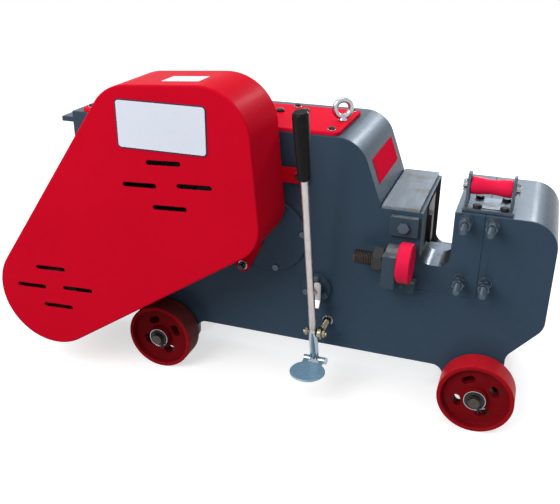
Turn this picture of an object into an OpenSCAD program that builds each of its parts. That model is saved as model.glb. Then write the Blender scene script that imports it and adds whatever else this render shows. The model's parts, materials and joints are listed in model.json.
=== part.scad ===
// Mechanical rebar cutter: a wheeled welded body with a flywheel, two gear stages,
// an eccentric shaft and a ram that shears a bar in the throat at the jaw end.
// +X points to the jaw end, -Y to the operator, +Z up; the origin is on the floor, mid-length and mid-width.

/* [Body] */
// Length of the body behind the rear axle
tail_l = 221; // [210:1:240]
// Depth between the outer faces of the side plates
body_d = 260; // [250:1:300]
// Height of the body's top above the floor
body_top = 596; // [585:1:640]
// Height of the body's lower edge above the floor
belly_z = 108; // [100:1:116]
// Thickness of the two side plates
side_t = 20; // [16:1:24]
// Thickness of the other walls
wall_t = 12; // [8:1:14]
// Overhang of the top plate past the rear wall
lip = 29; // [16:1:36]
// Drop of that overhang under the top
lip_drop = 14; // [4:1:20]
// Depth of the motor bay under the rear of the body
bay_l = 112; // [108:1:125]
// Height of the motor bay's ceiling
bay_z = 380; // [370:1:400]
// Lean of the slope in front of the hump, from the vertical
hump_lean = 20; // [10:1:30]
// Radius of the hump's front shoulder
hump_r = 70; // [40:1:80]
// Distance from the jaw end to the foot of the hump's slope
hump_foot = 350; // [340:1:360]

/* [Jaw and throat] */
// Height of the jaw's top face
jaw_top = 467; // [460:1:485]
// Radius of the jaw end's top corner
end_r = 58; // [30:1:80]
// Height at which the jaw end starts to slant inwards
chin_z = 236; // [210:1:260]
// Distance from the jaw end to the throat
jaw_t = 202; // [195:1:215]
// Width of the throat
throat_w = 62; // [56:1:70]
// Height of the throat's floor
throat_z = 344; // [338:1:350]
// Radius at the throat's floor
throat_r = 24; // [10:1:28]
// Depth of the throat's floor from the front face
throat_d = 125; // [110:1:140]
// Distance from the jaw end to the near side of the throat block
block_near = 142; // [139:1:146]
// Distance from the jaw end to the far side of the throat block
block_far = 323; // [316:1:328]
// Height of the throat block's underside
block_z = 284; // [276:1:288]
// Radius of the jaw studs
stud_r = 7; // [6:0.5:8]
// Length of the jaw studs in front of the body
stud_out = 66; // [56:1:72]
// Spacing of the jaw studs along the body
stud_dx = 51; // [48:1:54]
// Spacing of the jaw studs in height
stud_dz = 130; // [120:1:134]
// Height of the lower jaw studs
stud_z = 322; // [318:1:326]

/* [Ram] */
// Height of the ram
ram_h = 100; // [96:1:104]
// Width of the ram
ram_w = 90; // [84:1:92]
// Length of the ram
ram_l = 194; // [190:1:200]
// Throw of the eccentric, half the ram's stroke
throw = 26; // [20:1:26]
// Thickness of the guide plate over the ram
guide_t = 8; // [6:1:10]
// Width of a blade across the bar's length
blade_w = 30; // [24:1:32]
// Height of a blade
blade_h = 64; // [50:1:70]
// Distance a blade stands out of its seat
blade_out = 6; // [4:1:8]

/* [Gear train] */
// Distance from the jaw end to the eccentric shaft
crank_u = 591; // [585:1:597]
// Height of the eccentric shaft
crank_z = 362; // [358:1:366]
// Distance from the jaw end to the flywheel shaft
drive_u = 753; // [748:1:758]
// Height of the flywheel shaft
drive_z = 520; // [516:1:524]
// Module of the slow gear pair
slow_m = 6; // [5.5:0.5:6]
// Teeth of the gear on the eccentric shaft
slow_gear_n = 54; // [50:1:54]
// Teeth of its pinion
slow_pinion_n = 13; // [12:1:14]
// Width of the slow gears
slow_w = 50; // [40:1:52]
// Module of the fast gear pair
fast_m = 5; // [4.5:0.5:5]
// Teeth of the large gear on the middle shaft
fast_gear_n = 58; // [54:1:60]
// Teeth of its pinion on the flywheel shaft
fast_pinion_n = 15; // [14:1:16]
// Width of the fast gears
fast_w = 36; // [28:1:40]
// Radius of the flywheel and middle shafts
shaft_r = 20; // [16:1:22]
// Radius of the eccentric shaft
crank_r = 30; // [26:1:32]
// Outer radius of the bearings on the flywheel and middle shafts
bearing_r = 40; // [34:1:44]
// Outer radius of the bearings on the eccentric shaft
crank_bearing_r = 55; // [48:1:60]
// Outer radius of the eccentric shaft's bearing covers
crank_cover_r = 84; // [78:1:90]
// Thickness of the bearing covers
cover_t = 8; // [5:1:10]

/* [Belt drive] */
// Outer radius of the flywheel
fly_r = 178; // [160:1:180]
// Width of the flywheel's rim
fly_w = 75; // [70:1:82]
// Outer radius of the motor pulley
motor_pulley_r = 48; // [40:1:60]
// Number of belts
belts_n = 3; // [2:1:3]
// Width of a belt
belt_w = 13; // [10:1:14]
// Height of a belt
belt_h = 11; // [8:1:12]
// Spacing of the belts
belt_pitch = 19; // [18:1:22]

/* [Belt guard] */
// Depth of the guard
guard_d = 153; // [148:1:165]
// Gap between the guard and the body
guard_gap = 15; // [12:1:20]
// Sheet thickness of the guard
guard_t = 3; // [2:0.5:4]
// Radius of the guard round the motor pulley
guard_low_r = 127; // [118:1:135]
// Length of a vent slot
vent_l = 72; // [50:1:76]
// Width of a vent slot
vent_w = 8; // [6:1:12]

/* [Motor] */
// Distance of the motor shaft behind the body's rear wall
motor_back = 1; // [0:1:6]
// Height of the motor shaft above the floor
motor_z = 208; // [206:1:214]
// Radius of the motor's ribbed housing
motor_r = 102; // [90:1:104]
// Length of the motor's ribbed housing
motor_l = 205; // [170:1:210]
// Radius of the motor shaft
motor_shaft_r = 14; // [12:1:19]

/* [Wheels] */
// Distance between the front and rear axles
wheelbase = 740; // [720:1:750]
// Distance from the jaw end to the front axle
axle_u = 114; // [112:1:118]
// Radius of a wheel
wheel_r = 80; // [78:1:84]
// Width of a wheel
wheel_w = 55; // [45:1:60]
// Gap between a wheel and the body
wheel_gap = 8; // [6:1:12]
// Radius of the axles
axle_r = 12; // [10:1:13]
// Length of an axle past its wheel
axle_out = 14; // [12:1:16]

/* [Clutch lever] */
// Distance from the jaw end to the lever
lever_u = 470.5; // [466:0.5:475]
// Height of the lever's pivot
pivot_z = 172; // [168:1:176]
// Distance of the lever's pivot from the body
pivot_out = 62; // [58:1:66]
// Lean of the lever towards the operator
lever_lean = 13; // [10:0.5:14]
// Length of the lever above its pivot
lever_up = 528; // [480:1:545]
// Length of the lever below its pivot
lever_down = 82; // [78:1:86]
// Radius of the lever's upper rod
lever_r = 8; // [6:0.5:9]
// Radius of the lever's lower tube
lever_tube_r = 10; // [9:0.5:10.5]
// Length of the rubber grip
grip_l = 140; // [110:1:160]
// Radius of the rubber grip
grip_r = 15; // [12:0.5:17]
// Radius of the pedal's disc
pedal_r = 39; // [32:1:44]
// Distance from the jaw end to the clutch flange
clutch_u = 482.5; // [480:0.5:485]
// Height of the clutch flange
clutch_z = 253; // [250:1:256]
// Radius of the clutch flange
clutch_flange_r = 33; // [31:1:36]

/* [Hold-down and roller] */
// Radius of the hold-down screw
hold_r = 15; // [12:1:16]
// Radius of the hold-down disc
hold_disc_r = 42; // [34:1:43]
// Thickness of the hold-down disc
hold_disc_t = 28; // [20:1:29]
// Distance of the hold-down screw from the body
hold_out = 46; // [45:1:52]
// Height of the hold-down screw
hold_z = 362; // [360:1:364]
// Largest radius of the feed roller
roller_r = 18; // [16:1:20]
// Length of the feed roller
roller_l = 80; // [70:1:84]
// Height of the feed roller's axle above the jaw
roller_h = 44; // [42:1:48]

/* [Top cover] */
// Distance from the jaw end to the cover's near edge
cover_near = 449; // [446:1:452]
// Length of the cover
cover_l = 602; // [590:1:606]
// Width of the cover
cover_w = 204; // [200:1:210]
// Thickness of the cover
cover_plate_t = 8; // [6:1:10]
// Inner radius of the lifting eye
eye_r = 12; // [11:0.5:14]

/* [Hidden] */
$fn = 64;

// Clearances
run = 0.05;
gap = 0.3;
seat = 0.2;
backlash = 0.8;
nut_gap = 1;

// Tooth proportions: pressure angle in degrees, heights in modules
pressure = 25;
addendum = 0.9;
dedendum = 1.2;

// Overall reach of the object, from which its origin follows
grip_reach = pivot_out + lever_up * sin(lever_lean) + grip_r * cos(lever_lean);
back_reach = body_d + wheel_gap + wheel_w + axle_out;
front_y = (max(grip_reach, guard_gap + guard_d) - back_reach) / 2;
body_l = axle_u + wheelbase + tail_l;
end_x = (body_l + motor_back + guard_low_r) / 2;

// Places along the body
rear_x = end_x - body_l;
bay_x = rear_x + bay_l;
front_axle_x = end_x - axle_u;
rear_axle_x = front_axle_x - wheelbase;
jaw_x = end_x - jaw_t;
ram_face_x = jaw_x - throat_w;
block_x0 = end_x - block_far;
block_x1 = end_x - block_near;
slope_x = end_x - hump_foot;
guide_x0 = slope_x;
guide_edge = 7;
guide_drop = 4;
guide_x1 = ram_face_x - guide_edge;
seat_z = jaw_top - guide_drop - guide_t;
hump_x = slope_x - (body_top - seat_z) * tan(hump_lean);
lever_x = end_x - lever_u;
clutch_x = end_x - clutch_u;

// Gear train centres in X and Z
crank_c = [end_x - crank_u, crank_z];
drive_c = [end_x - drive_u, drive_z];
slow_span = slow_m * (slow_gear_n + slow_pinion_n) / 2;
fast_span = fast_m * (fast_gear_n + fast_pinion_n) / 2;
middle_c = third_corner(crank_c, drive_c, slow_span, fast_span);
motor_c = [rear_x - motor_back, motor_z];
slow_tip_r = tip_radius(slow_gear_n, slow_m);
gear_tip_gap = 10;
cavity_x1 = crank_c[0] + slow_tip_r + gear_tip_gap;

// Depths behind the front face
inner_d = body_d - side_t;
gear_side_gap = 10;
ram_side_gap = 5;
fly_back_gap = 35;
rod_w = 70;
slow_v = side_t + gear_side_gap;
ram_v = slow_v + slow_w + ram_side_gap;
rod_v = ram_v + (ram_w - rod_w) / 2;
fast_v = (rod_v + rod_w + inner_d - fast_w) / 2;
fly_v = -guard_gap - fly_back_gap - fly_w;
ram_z = throat_z + run + ram_h / 2;
belt_v = fly_v + (fly_w - (belts_n - 1) * belt_pitch - belt_w) / 2;
guard_v = -guard_gap - guard_d;

// Unit vector from a to b
function unit(a, b) = (b - a) / norm(b - a);
// Angle of the direction from a to b
function heading(a, b) = atan2(b[1] - a[1], b[0] - a[0]);
// Point at a polar place round c
function polar(c, r, a) = c + r * [cos(a), sin(a)];
// Corner of a triangle at given distances from a and b, to the right of the way from a to b turned half round
function third_corner(a, b, ra, rb) =
  let (d = norm(b - a), s = (ra * ra - rb * rb + d * d) / (2 * d), e = unit(a, b))
  a + s * e + sqrt(ra * ra - s * s) * [-e[1], e[0]];
// Points of an arc round c from angle a to angle b, counter-clockwise
function arc(c, r, a, b, step = 8) =
  let (sweep = (b - a + 720) % 360, k = max(1, ceil(sweep / step)))
  [for (i = [0:k]) polar(c, r, a + sweep * i / k)];
// Direction of the outward normal on the outer tangent from circle p to circle q, going counter-clockwise
function tangent_normal(p, q) =
  heading([p[0], p[1]], [q[0], q[1]]) - acos((p[2] - q[2]) / norm([q[0] - p[0], q[1] - p[1]]));
// Outline of a taut band round circles [x, z, r] listed counter-clockwise
function band(cs, step = 8) = let (n = len(cs)) [for (i = [0:n - 1]) let (c = cs[i])
  let (before = tangent_normal(cs[(i + n - 1) % n], c), after = tangent_normal(c, cs[(i + 1) % n]))
  each arc([c[0], c[1]], c[2], before, after, step)];
// The same circles with smaller radii
function shrunk(cs, t) = [for (c = cs) [c[0], c[1], c[2] - t]];
// Points of one rounded corner b between a and c
function corner(a, b, c, r) = r == 0 ? [b] :
  let (ua = unit(a, b), ub = unit(b, c), s = sign(cross(ua, ub)), h = acos(ua * ub) / 2,
    n = [-ua[1], ua[0]] * s, o = b - ua * r * tan(h) + n * r, k = max(1, ceil(2 * h / 8)),
    a0 = atan2(-n[1], -n[0]))
  [for (i = [0:k]) polar(o, r, a0 + s * 2 * h * i / k)];
// Outline through corners [x, z, r], counter-clockwise
function rounded(cs) = let (n = len(cs), p = [for (c = cs) [c[0], c[1]]])
  [for (i = [0:n - 1]) each corner(p[(i + n - 1) % n], p[i], p[(i + 1) % n], cs[i][2])];
// Corners of a rectangle with one corner radius
function box_corners(x0, z0, x1, z1, r) = [[x0, z0, r], [x1, z0, r], [x1, z1, r], [x0, z1, r]];

// Involute gear teeth
function pitch_radius(n, m) = n * m / 2;
function tip_radius(n, m) = pitch_radius(n, m) + addendum * m;
function involute(base, r) = let (a = acos(min(1, base / r))) tan(a) * 180 / PI - a;
function half_tooth(n, m, r) = let (rp = pitch_radius(n, m), base = rp * cos(pressure))
  90 / n - backlash / 4 / rp * 180 / PI + involute(base, rp) - involute(base, r);
function tooth(n, m, steps = 3) =
  let (rp = pitch_radius(n, m), root = rp - dedendum * m, low = max(root, rp * cos(pressure)),
    tip = tip_radius(n, m), rs = [for (i = [0:steps]) low + (tip - low) * i / steps])
  concat(root < low ? [[root, -half_tooth(n, m, low)]] : [],
    [for (r = rs) [r, -half_tooth(n, m, r)]],
    [for (i = [steps:-1:0]) [rs[i], half_tooth(n, m, rs[i])]],
    root < low ? [[root, half_tooth(n, m, low)]] : []);
function gear_points(n, m) = let (t = tooth(n, m))
  [for (i = [0:n - 1]) for (p = t) polar([0, 0], p[0], p[1] + 360 * i / n)];
// Outline of a curved slot between two radii, from angle a over a turn
function curved_slot(r0, r1, a, turn, k = 8) = concat(
  [for (i = [0:k]) polar([0, 0], r1, a + turn * i / k)],
  [for (i = [k:-1:0]) polar([0, 0], r0, a + turn * i / k)]);
// Hexagon heads and nuts in proportion to their bolt's radius
function hex_r(bolt_r) = 1.8 * bolt_r;
function head_h(bolt_r) = 1.3 * bolt_r;

// Basic solids placed by the object's own depths
module slab(v, depth) {
  translate([0, front_y + v + depth, 0]) rotate([90, 0, 0]) linear_extrude(depth) children();
}
module bar_y(c, v, len, r) {
  translate([c[0], front_y + v, c[1]]) rotate([-90, 0, 0]) cylinder(r = r, h = len);
}
module bar_x(x, v, z, len, r) {
  translate([x, front_y + v, z]) rotate([0, 90, 0]) cylinder(r = r, h = len);
}
module bar_z(x, v, z, len, r) {
  translate([x, front_y + v, z]) cylinder(r = r, h = len);
}
module block(x0, v0, z0, x1, v1, z1) {
  translate([x0, front_y + v0, z0]) cube([x1 - x0, v1 - v0, z1 - z0]);
}
module ring_y(c, v, len, r, hole) {
  difference() {
    bar_y(c, v, len, r);
    bar_y(c, v - 1, len + 2, hole);
  }
}
// Hexagon head or nut whose axis runs along Y
module hex_y(c, v, len, r) {
  translate([c[0], front_y + v, c[1]]) rotate([-90, 0, 0]) cylinder(r = r, h = len, $fn = 6);
}
module hex_z(x, v, z, len, r) {
  translate([x, front_y + v, z]) cylinder(r = r, h = len, $fn = 6);
}
module gear(c, v, w, n, m, phase) {
  slab(v, w) translate(c) rotate(phase) polygon(gear_points(n, m));
}

// Body
foot_z = wheel_r - 32;
foot_r = 26;
foot_fillet = 24;
foot_half = 72;
front_foot_half = 78;
toe_in = 66;
toe_r = 30;
chin_r = 42;
chin_drop = 76;
bay_r = 6;
room_r = 10;
foot_x0 = front_axle_x - front_foot_half;
foot_x1 = end_x - toe_in;
toe_z = chin_z - chin_drop;

body_corners = [
  [bay_x, belly_z, 0],
  [rear_axle_x - foot_half, belly_z, foot_fillet],
  [rear_axle_x - foot_half, foot_z, foot_r],
  [rear_axle_x + foot_half, foot_z, foot_r],
  [rear_axle_x + foot_half, belly_z, foot_fillet],
  [foot_x0, belly_z, foot_fillet],
  [foot_x0, foot_z, foot_r],
  [foot_x1, foot_z, foot_r],
  [foot_x1, toe_z, toe_r],
  [end_x, chin_z, chin_r],
  [end_x, jaw_top, end_r],
  [block_x1, jaw_top, 0],
  [block_x1, block_z, 0],
  [block_x0, block_z, 0],
  [block_x0, seat_z, 0],
  [slope_x, seat_z, 0],
  [hump_x, body_top, hump_r],
  [rear_x, body_top, 0],
  [rear_x, bay_z, bay_r],
  [bay_x, bay_z, bay_r]];

gear_room = [
  [bay_x + wall_t, belly_z + wall_t, room_r],
  [cavity_x1, belly_z + wall_t, room_r],
  [cavity_x1, body_top - wall_t, hump_r - wall_t],
  [rear_x + wall_t, body_top - wall_t, room_r],
  [rear_x + wall_t, bay_z + wall_t, room_r],
  [bay_x + wall_t, bay_z + wall_t, room_r]];

stud_u = 127;
stud_x = end_x - stud_u;
stud_spots = [for (i = [0, 1]) for (j = [0, 1]) [stud_x - i * stud_dx, stud_z + j * stud_dz]];
stud_deep = 45;
axle_bore_r = axle_r + seat;
post_wall = 20;
post_u = 106;
post_r = 30;
base_wall = 32;
post_room = box_corners(end_x - post_u, chin_z + post_wall, end_x - wall_t, jaw_top - post_wall, post_r);
base_room = box_corners(cavity_x1 + wall_t, belly_z + wall_t, foot_x1 - base_wall,
  block_z - post_wall, room_r);
hatch_edge = 60;
hatch_side = 36;
hatch_deep = 60;

module body_shell() {
  color("slategray") difference() {
    union() {
      slab(0, body_d) polygon(rounded(body_corners));
      block(rear_x - lip, 0, body_top - lip_drop - wall_t, rear_x + 1, body_d, body_top - lip_drop);
    }
    block(bay_x, side_t, 0, end_x, inner_d, belly_z);
    slab(side_t, inner_d - side_t) polygon(rounded(gear_room));
    slab(side_t, inner_d - side_t) polygon(rounded(post_room));
    slab(side_t, inner_d - side_t) polygon(rounded(base_room));
    ram_channel();
    block(cover_x0 + hatch_edge, hatch_side, body_top - hatch_deep, cover_x1 - hatch_edge,
      cover_w - hatch_side, body_top + 1);
    bar_y(crank_c, -1, body_d + 2, crank_bearing_r + seat);
    bar_y(drive_c, -1, body_d + 2, bearing_r + seat);
    bar_y(middle_c, -1, body_d + 2, bearing_r + seat);
    bar_y([clutch_x, clutch_z], -1, side_t + 2, clutch_spigot_r + seat);
    for (x = [front_axle_x, rear_axle_x]) bar_y([x, wheel_r], -1, body_d + 2, axle_bore_r);
    for (p = stud_spots) bar_y(p, -1, stud_deep + 1, stud_r + seat);
    for (p = cover_bolt_spots) bar_z(p[0], p[1], body_top - wall_t - 1, wall_t + 2, cover_bolt_r + seat);
    bar_z(eye_x, eye_v, body_top - wall_t - 1, wall_t + 2, eye_shank_r + seat);
    bar_y(slide_bolt_c, -1, slide_bolt_deep + 1, slide_bolt_r + seat);
    bar_y(eye_bolt_c, -1, side_t + 2, eye_bolt_r + seat);
    stand_bolt_holes();
    for (v = [0, body_d]) for (p = cover_screw_spots)
      bar_y(p, v - screw_deep - 1, 2 * screw_deep + 2, cover_screw_r + seat);
    for (p = flange_bolt_spots) bar_y(p, -1, screw_deep + 2, cover_screw_r + seat);
  }
}

// Throat block with the ram's channel and the fixed blade's seat
blade_v = ram_v + ram_w / 2;
blade_lift = 8;
blade_z = throat_z + blade_lift;
blade_deep = 16;
moving_blade_v = blade_v - gap - blade_w;
chute_wall = 6;
function throat_corners(z) = [
  [ram_face_x, z, throat_r],
  [jaw_x, z, throat_r],
  [jaw_x, jaw_top + 1, 0],
  [ram_face_x, jaw_top + 1, 0]];

module ram_channel() {
  x0 = cavity_x1 - 1;
  half = ram_h / 2 + run;
  block(x0, ram_v - run, ram_z - half, jaw_x, ram_v + ram_w + run, ram_z + half);
}
module throat_block() {
  color("slategray") difference() {
    block(block_x0, 0, block_z, block_x1, body_d, jaw_top);
    slab(-1, body_d + 2) polygon(rounded(throat_corners(throat_z)));
    slab(throat_d, body_d) polygon(rounded(throat_corners(block_z + chute_wall)));
    block(block_x0 - 1, -1, seat_z, ram_face_x + 1, body_d + 1, jaw_top + 1);
    ram_channel();
    block(jaw_x - 1, blade_v, blade_z, jaw_x + blade_deep, blade_v + blade_w, blade_z + blade_h);
    for (p = stud_spots) bar_y(p, -1, stud_deep + 1, stud_r + seat);
    bar_y(slide_bolt_c, -1, slide_bolt_deep + 1, slide_bolt_r + seat);
    stand_bolt_holes();
  }
}
module fixed_blade() {
  color("silver")
    block(jaw_x - blade_out, blade_v, blade_z, jaw_x + blade_deep, blade_v + blade_w, blade_z + blade_h);
}

// Ram group: a forked ram, its blade, and the pin that the connecting rod carries
ram_x0 = ram_face_x - ram_l;
fork_t = 12;
pin_r = 15;
pin_in = 34;
pin_x = ram_x0 + pin_in;
fork_l = 100;
slot_slack = 1;
slot_half = pin_r + 0.22 * throw + slot_slack;
ram_bottom = ram_z - ram_h / 2;
ram_top = ram_z + ram_h / 2;
pin_slot = box_corners(pin_x - slot_half, ram_z - pin_r - throw - slot_slack, pin_x + slot_half,
  ram_z + pin_r + slot_slack, pin_r);

module ram() {
  color("dimgray") difference() {
    block(ram_x0, ram_v, ram_bottom, ram_face_x, ram_v + ram_w, ram_top);
    block(ram_x0 - 1, ram_v + fork_t, ram_bottom - 1, ram_x0 + fork_l, ram_v + ram_w - fork_t, ram_top + 1);
    slab(ram_v - 1, ram_w + 2) polygon(rounded(pin_slot));
    block(ram_face_x - blade_deep, moving_blade_v, blade_z, ram_face_x + 1, blade_v - gap, blade_z + blade_h);
  }
}
module moving_blade() {
  color("silver") block(ram_face_x - blade_deep, moving_blade_v, blade_z,
    ram_face_x + blade_out, blade_v - gap, blade_z + blade_h);
}
module wrist_pin() {
  color("silver") bar_y(pin_c, ram_v + end_play, ram_w - 2 * end_play, pin_r);
}

// Guide plate over the ram, and the small cover on the front of the slide
slide_bolt_r = 7;
slide_bolt_deep = 30;
slide_cover_t = 12;
slide_cover_l = 58;
slide_cover_h = 42;
slide_cover_gap = 9;
slide_cover_side = 5;
slide_cover_r = 3;
slide_cover_x = block_x0 - slide_cover_side;
slide_cover_z = seat_z - slide_cover_gap;
slide_bolt_c = [slide_cover_x + slide_cover_l / 2, slide_cover_z - slide_cover_h / 2];
slide_plate = box_corners(slide_cover_x, slide_cover_z - slide_cover_h, slide_cover_x + slide_cover_l,
  slide_cover_z, slide_cover_r);

module guide_plate() {
  color("gainsboro") block(guide_x0, 0, seat_z, guide_x1, body_d, seat_z + guide_t);
}
module slide_cover() {
  color("slategray") difference() {
    slab(-slide_cover_t, slide_cover_t) polygon(rounded(slide_plate));
    bar_y(slide_bolt_c, -slide_cover_t - 1, slide_cover_t + 2, slide_bolt_r + seat);
  }
}
module slide_bolt() {
  color("dimgray") {
    hex_y(slide_bolt_c, -slide_cover_t - head_h(slide_bolt_r), head_h(slide_bolt_r), hex_r(slide_bolt_r));
    bar_y(slide_bolt_c, -slide_cover_t, slide_cover_t + slide_bolt_deep - 2, slide_bolt_r);
  }
}

// Jaw studs with their washers and nuts
nut_t = 15;
washer_t = 3;
module jaw_studs() {
  color("dimgray") for (p = stud_spots) bar_y(p, -stud_out, stud_out + stud_deep - 2, stud_r);
}
module jaw_nuts() {
  color("dimgray") for (p = stud_spots) difference() {
    union() {
      bar_y(p, -washer_t, washer_t, stud_r * 2);
      hex_y(p, -washer_t - nut_t, nut_t, hex_r(stud_r));
    }
    bar_y(p, -washer_t - nut_t - 1, washer_t + nut_t + 2, stud_r + seat);
  }
}

// Hold-down: an angle bracket, a screw with its lock nut, and the round pad that steadies the bar
bracket_t = 29;
bracket_back = 65;
bracket_foot_h = 24;
bracket_foot_v = 30;
bracket_top_wall = 5;
bracket_out_wall = 11;
bracket_drop = 10;
hold_nut_t = 21;
hold_tail = 62;
disc_edge = 3;
bracket_x0 = ram_face_x - bracket_back;
bracket_x1 = bracket_x0 + bracket_t;
bracket_step_z = hold_z - hold_disc_r - bracket_drop;
bracket_foot_z = bracket_step_z - bracket_foot_h;
bracket_top = hold_z + hold_r + bracket_top_wall;
bracket_out = hold_out + hold_r + bracket_out_wall;
hold_x0 = bracket_x0 - hold_tail;

module hold_down_bracket() {
  color("slategray") difference() {
    union() {
      block(bracket_x0, -bracket_out, bracket_step_z, bracket_x1, 0, bracket_top);
      block(bracket_x0, -bracket_foot_v, bracket_foot_z, ram_face_x - 1, 0, bracket_step_z);
    }
    bar_x(bracket_x0 - 1, -hold_out, hold_z, bracket_t + 2, hold_r + run);
  }
}
module hold_down_screw() {
  hold_x1 = bracket_x1 + nut_gap + hold_disc_t / 2;
  color("dimgray") bar_x(hold_x0, -hold_out, hold_z, hold_x1 - hold_x0, hold_r);
}
module hold_down_disc() {
  x0 = bracket_x1 + nut_gap;
  color("crimson") difference() {
    union() {
      bar_x(x0, -hold_out, hold_z, hold_disc_t, hold_disc_r - disc_edge);
      bar_x(x0 + disc_edge, -hold_out, hold_z, hold_disc_t - 2 * disc_edge, hold_disc_r);
    }
    bar_x(x0 - 1, -hold_out, hold_z, hold_disc_t / 2 + 1, hold_r);
  }
}
module lock_nut() {
  color("dimgray") difference() {
    translate([bracket_x0 - hold_nut_t, front_y - hold_out, hold_z]) rotate([0, 90, 0])
      cylinder(r = hex_r(hold_r), h = hold_nut_t, $fn = 6);
    bar_x(bracket_x0 - hold_nut_t - 1, -hold_out, hold_z, hold_nut_t + 2, hold_r + run);
  }
}

// Feed roller on the jaw
stand_u = 140;
stand_x = end_x - stand_u;
stand_v = 50;
stand_l = 100;
stand_d = 84;
stand_t = 8;
ear_t = 6;
ear_foot = 26;
ear_head = 16;
ear_r = 12;
ear_rise = 13;
ear_x = roller_l / 2 + nut_gap;
roller_z = jaw_top + roller_h;
roller_axle_r = 7;
roller_waist = 3;
roller_rim = 7;
roller_cone = 13;
cotter_r = 1.8;
cotter_l = 26;
axle_end = 9;
stand_bolt_r = 5;
stand_bolt_deep = 18;
stand_bolt_shift = 4.5;
stand_bolt_x = 26.5;
stand_bolt_v = 29;
stand_bolt_spots = [for (i = [-1, 1]) for (j = [-1, 1])
  [stand_x + stand_bolt_shift + i * stand_bolt_x, stand_v + j * stand_bolt_v]];

module stand_bolt_holes() {
  for (p = stand_bolt_spots)
    bar_z(p[0], p[1], jaw_top - stand_bolt_deep - 1, stand_bolt_deep + stand_t + 2, stand_bolt_r + seat);
}
module roller_stand() {
  ear_top = roller_z + roller_axle_r + ear_rise;
  half = stand_l / 2;
  color("dimgray") difference() {
    union() {
      block(stand_x - half, stand_v - stand_d / 2, jaw_top, stand_x + half, stand_v + stand_d / 2,
        jaw_top + stand_t);
      for (s = [-1, 1]) {
        x0 = s > 0 ? stand_x + ear_x : stand_x - ear_x - ear_t;
        translate([x0, front_y + stand_v, 0]) rotate([90, 0, 90]) linear_extrude(ear_t)
          polygon(rounded([[-ear_foot, jaw_top, 0], [ear_foot, jaw_top, 0],
            [ear_head, ear_top, ear_r], [-ear_head, ear_top, ear_r]]));
      }
    }
    bar_x(stand_x - ear_x - ear_t - 1, stand_v, roller_z, 2 * (ear_x + ear_t + 1), roller_axle_r + seat);
    stand_bolt_holes();
  }
}
module stand_bolts() {
  color("dimgray") for (p = stand_bolt_spots) {
    hex_z(p[0], p[1], jaw_top + stand_t, head_h(stand_bolt_r), hex_r(stand_bolt_r));
    bar_z(p[0], p[1], jaw_top - stand_bolt_deep, stand_t + stand_bolt_deep, stand_bolt_r);
  }
}
module feed_roller() {
  half = roller_l / 2;
  waist = roller_r - roller_waist;
  cone = half - roller_rim - roller_cone;
  color("crimson") translate([stand_x, front_y + stand_v, roller_z]) rotate([0, 90, 0]) rotate_extrude()
    polygon([[roller_axle_r + run, -half], [roller_r, -half], [roller_r, roller_rim - half], [waist, -cone],
      [waist, cone], [roller_r, half - roller_rim], [roller_r, half], [roller_axle_r + run, half]]);
}
module roller_axle() {
  reach = ear_x + ear_t + axle_end;
  color("silver") {
    bar_x(stand_x - reach, stand_v, roller_z, 2 * reach, roller_axle_r);
    for (s = [-1, 1])
      bar_z(stand_x + s * (reach - axle_end / 2), stand_v, roller_z - cotter_l / 2, cotter_l, cotter_r);
  }
}

// Wheels and axles
hub_r = 24;
rim_t = 11;
web_t = 12;
slot_n = 4;
slot_in = 33;
slot_out = 50;
slot_turn = 40;
near_wheel_v = -wheel_gap - wheel_w;
far_wheel_v = body_d + wheel_gap;
washer_out = 3;
washer_rim = 11;
slot_start = 44;
edge_r = 2;
axle_pin_r = 2.5;
axle_pin_in = 5;
axle_pin_l = 2 * axle_r + 12;
axle_pin_turn = 35;

module axles() {
  ends = wheel_gap + wheel_w + axle_out;
  color("dimgray") for (x = [front_axle_x, rear_axle_x]) {
    bar_y([x, wheel_r], -ends, body_d + 2 * ends, axle_r);
    for (v = [axle_pin_in - ends, body_d + ends - axle_pin_in])
      translate([x, front_y + v, wheel_r]) rotate([0, axle_pin_turn, 0])
        cylinder(r = axle_pin_r, h = axle_pin_l, center = true);
  }
}
module wheel(x, v) {
  half = wheel_w / 2;
  web = web_t / 2;
  bore = axle_r + run;
  rim = wheel_r - rim_t;
  side = [[wheel_r, half - edge_r], [wheel_r - edge_r, half], [rim + edge_r, half], [rim - edge_r, web],
    [hub_r + edge_r, web], [hub_r, half], [bore, half]];
  other = [for (i = [len(side) - 1:-1:0]) [side[i][0], -side[i][1]]];
  color("firebrick") translate([x, front_y + v + half, wheel_r]) rotate([-90, 0, 0]) difference() {
    rotate_extrude() polygon(concat(other, side));
    for (i = [0:slot_n - 1]) translate([0, 0, -web_t]) linear_extrude(2 * web_t)
      polygon(curved_slot(slot_in, slot_out, i * 360 / slot_n + slot_start, slot_turn));
  }
}
module front_wheel_near() {
  wheel(front_axle_x, near_wheel_v);
}
module front_wheel_far() {
  wheel(front_axle_x, far_wheel_v);
}
module rear_wheel_near() {
  wheel(rear_axle_x, near_wheel_v);
}
module rear_wheel_far() {
  wheel(rear_axle_x, far_wheel_v);
}
module axle_washers() {
  color("dimgray") for (x = [front_axle_x, rear_axle_x]) {
    ring_y([x, wheel_r], near_wheel_v - gap - washer_out, washer_out, axle_r + washer_rim, axle_r);
    ring_y([x, wheel_r], far_wheel_v + wheel_w + gap, washer_out, axle_r + washer_rim, axle_r);
    ring_y([x, wheel_r], -wheel_gap + gap, wheel_gap - gap, axle_r + washer_rim, axle_r);
    ring_y([x, wheel_r], body_d, wheel_gap - gap, axle_r + washer_rim, axle_r);
  }
}

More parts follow.
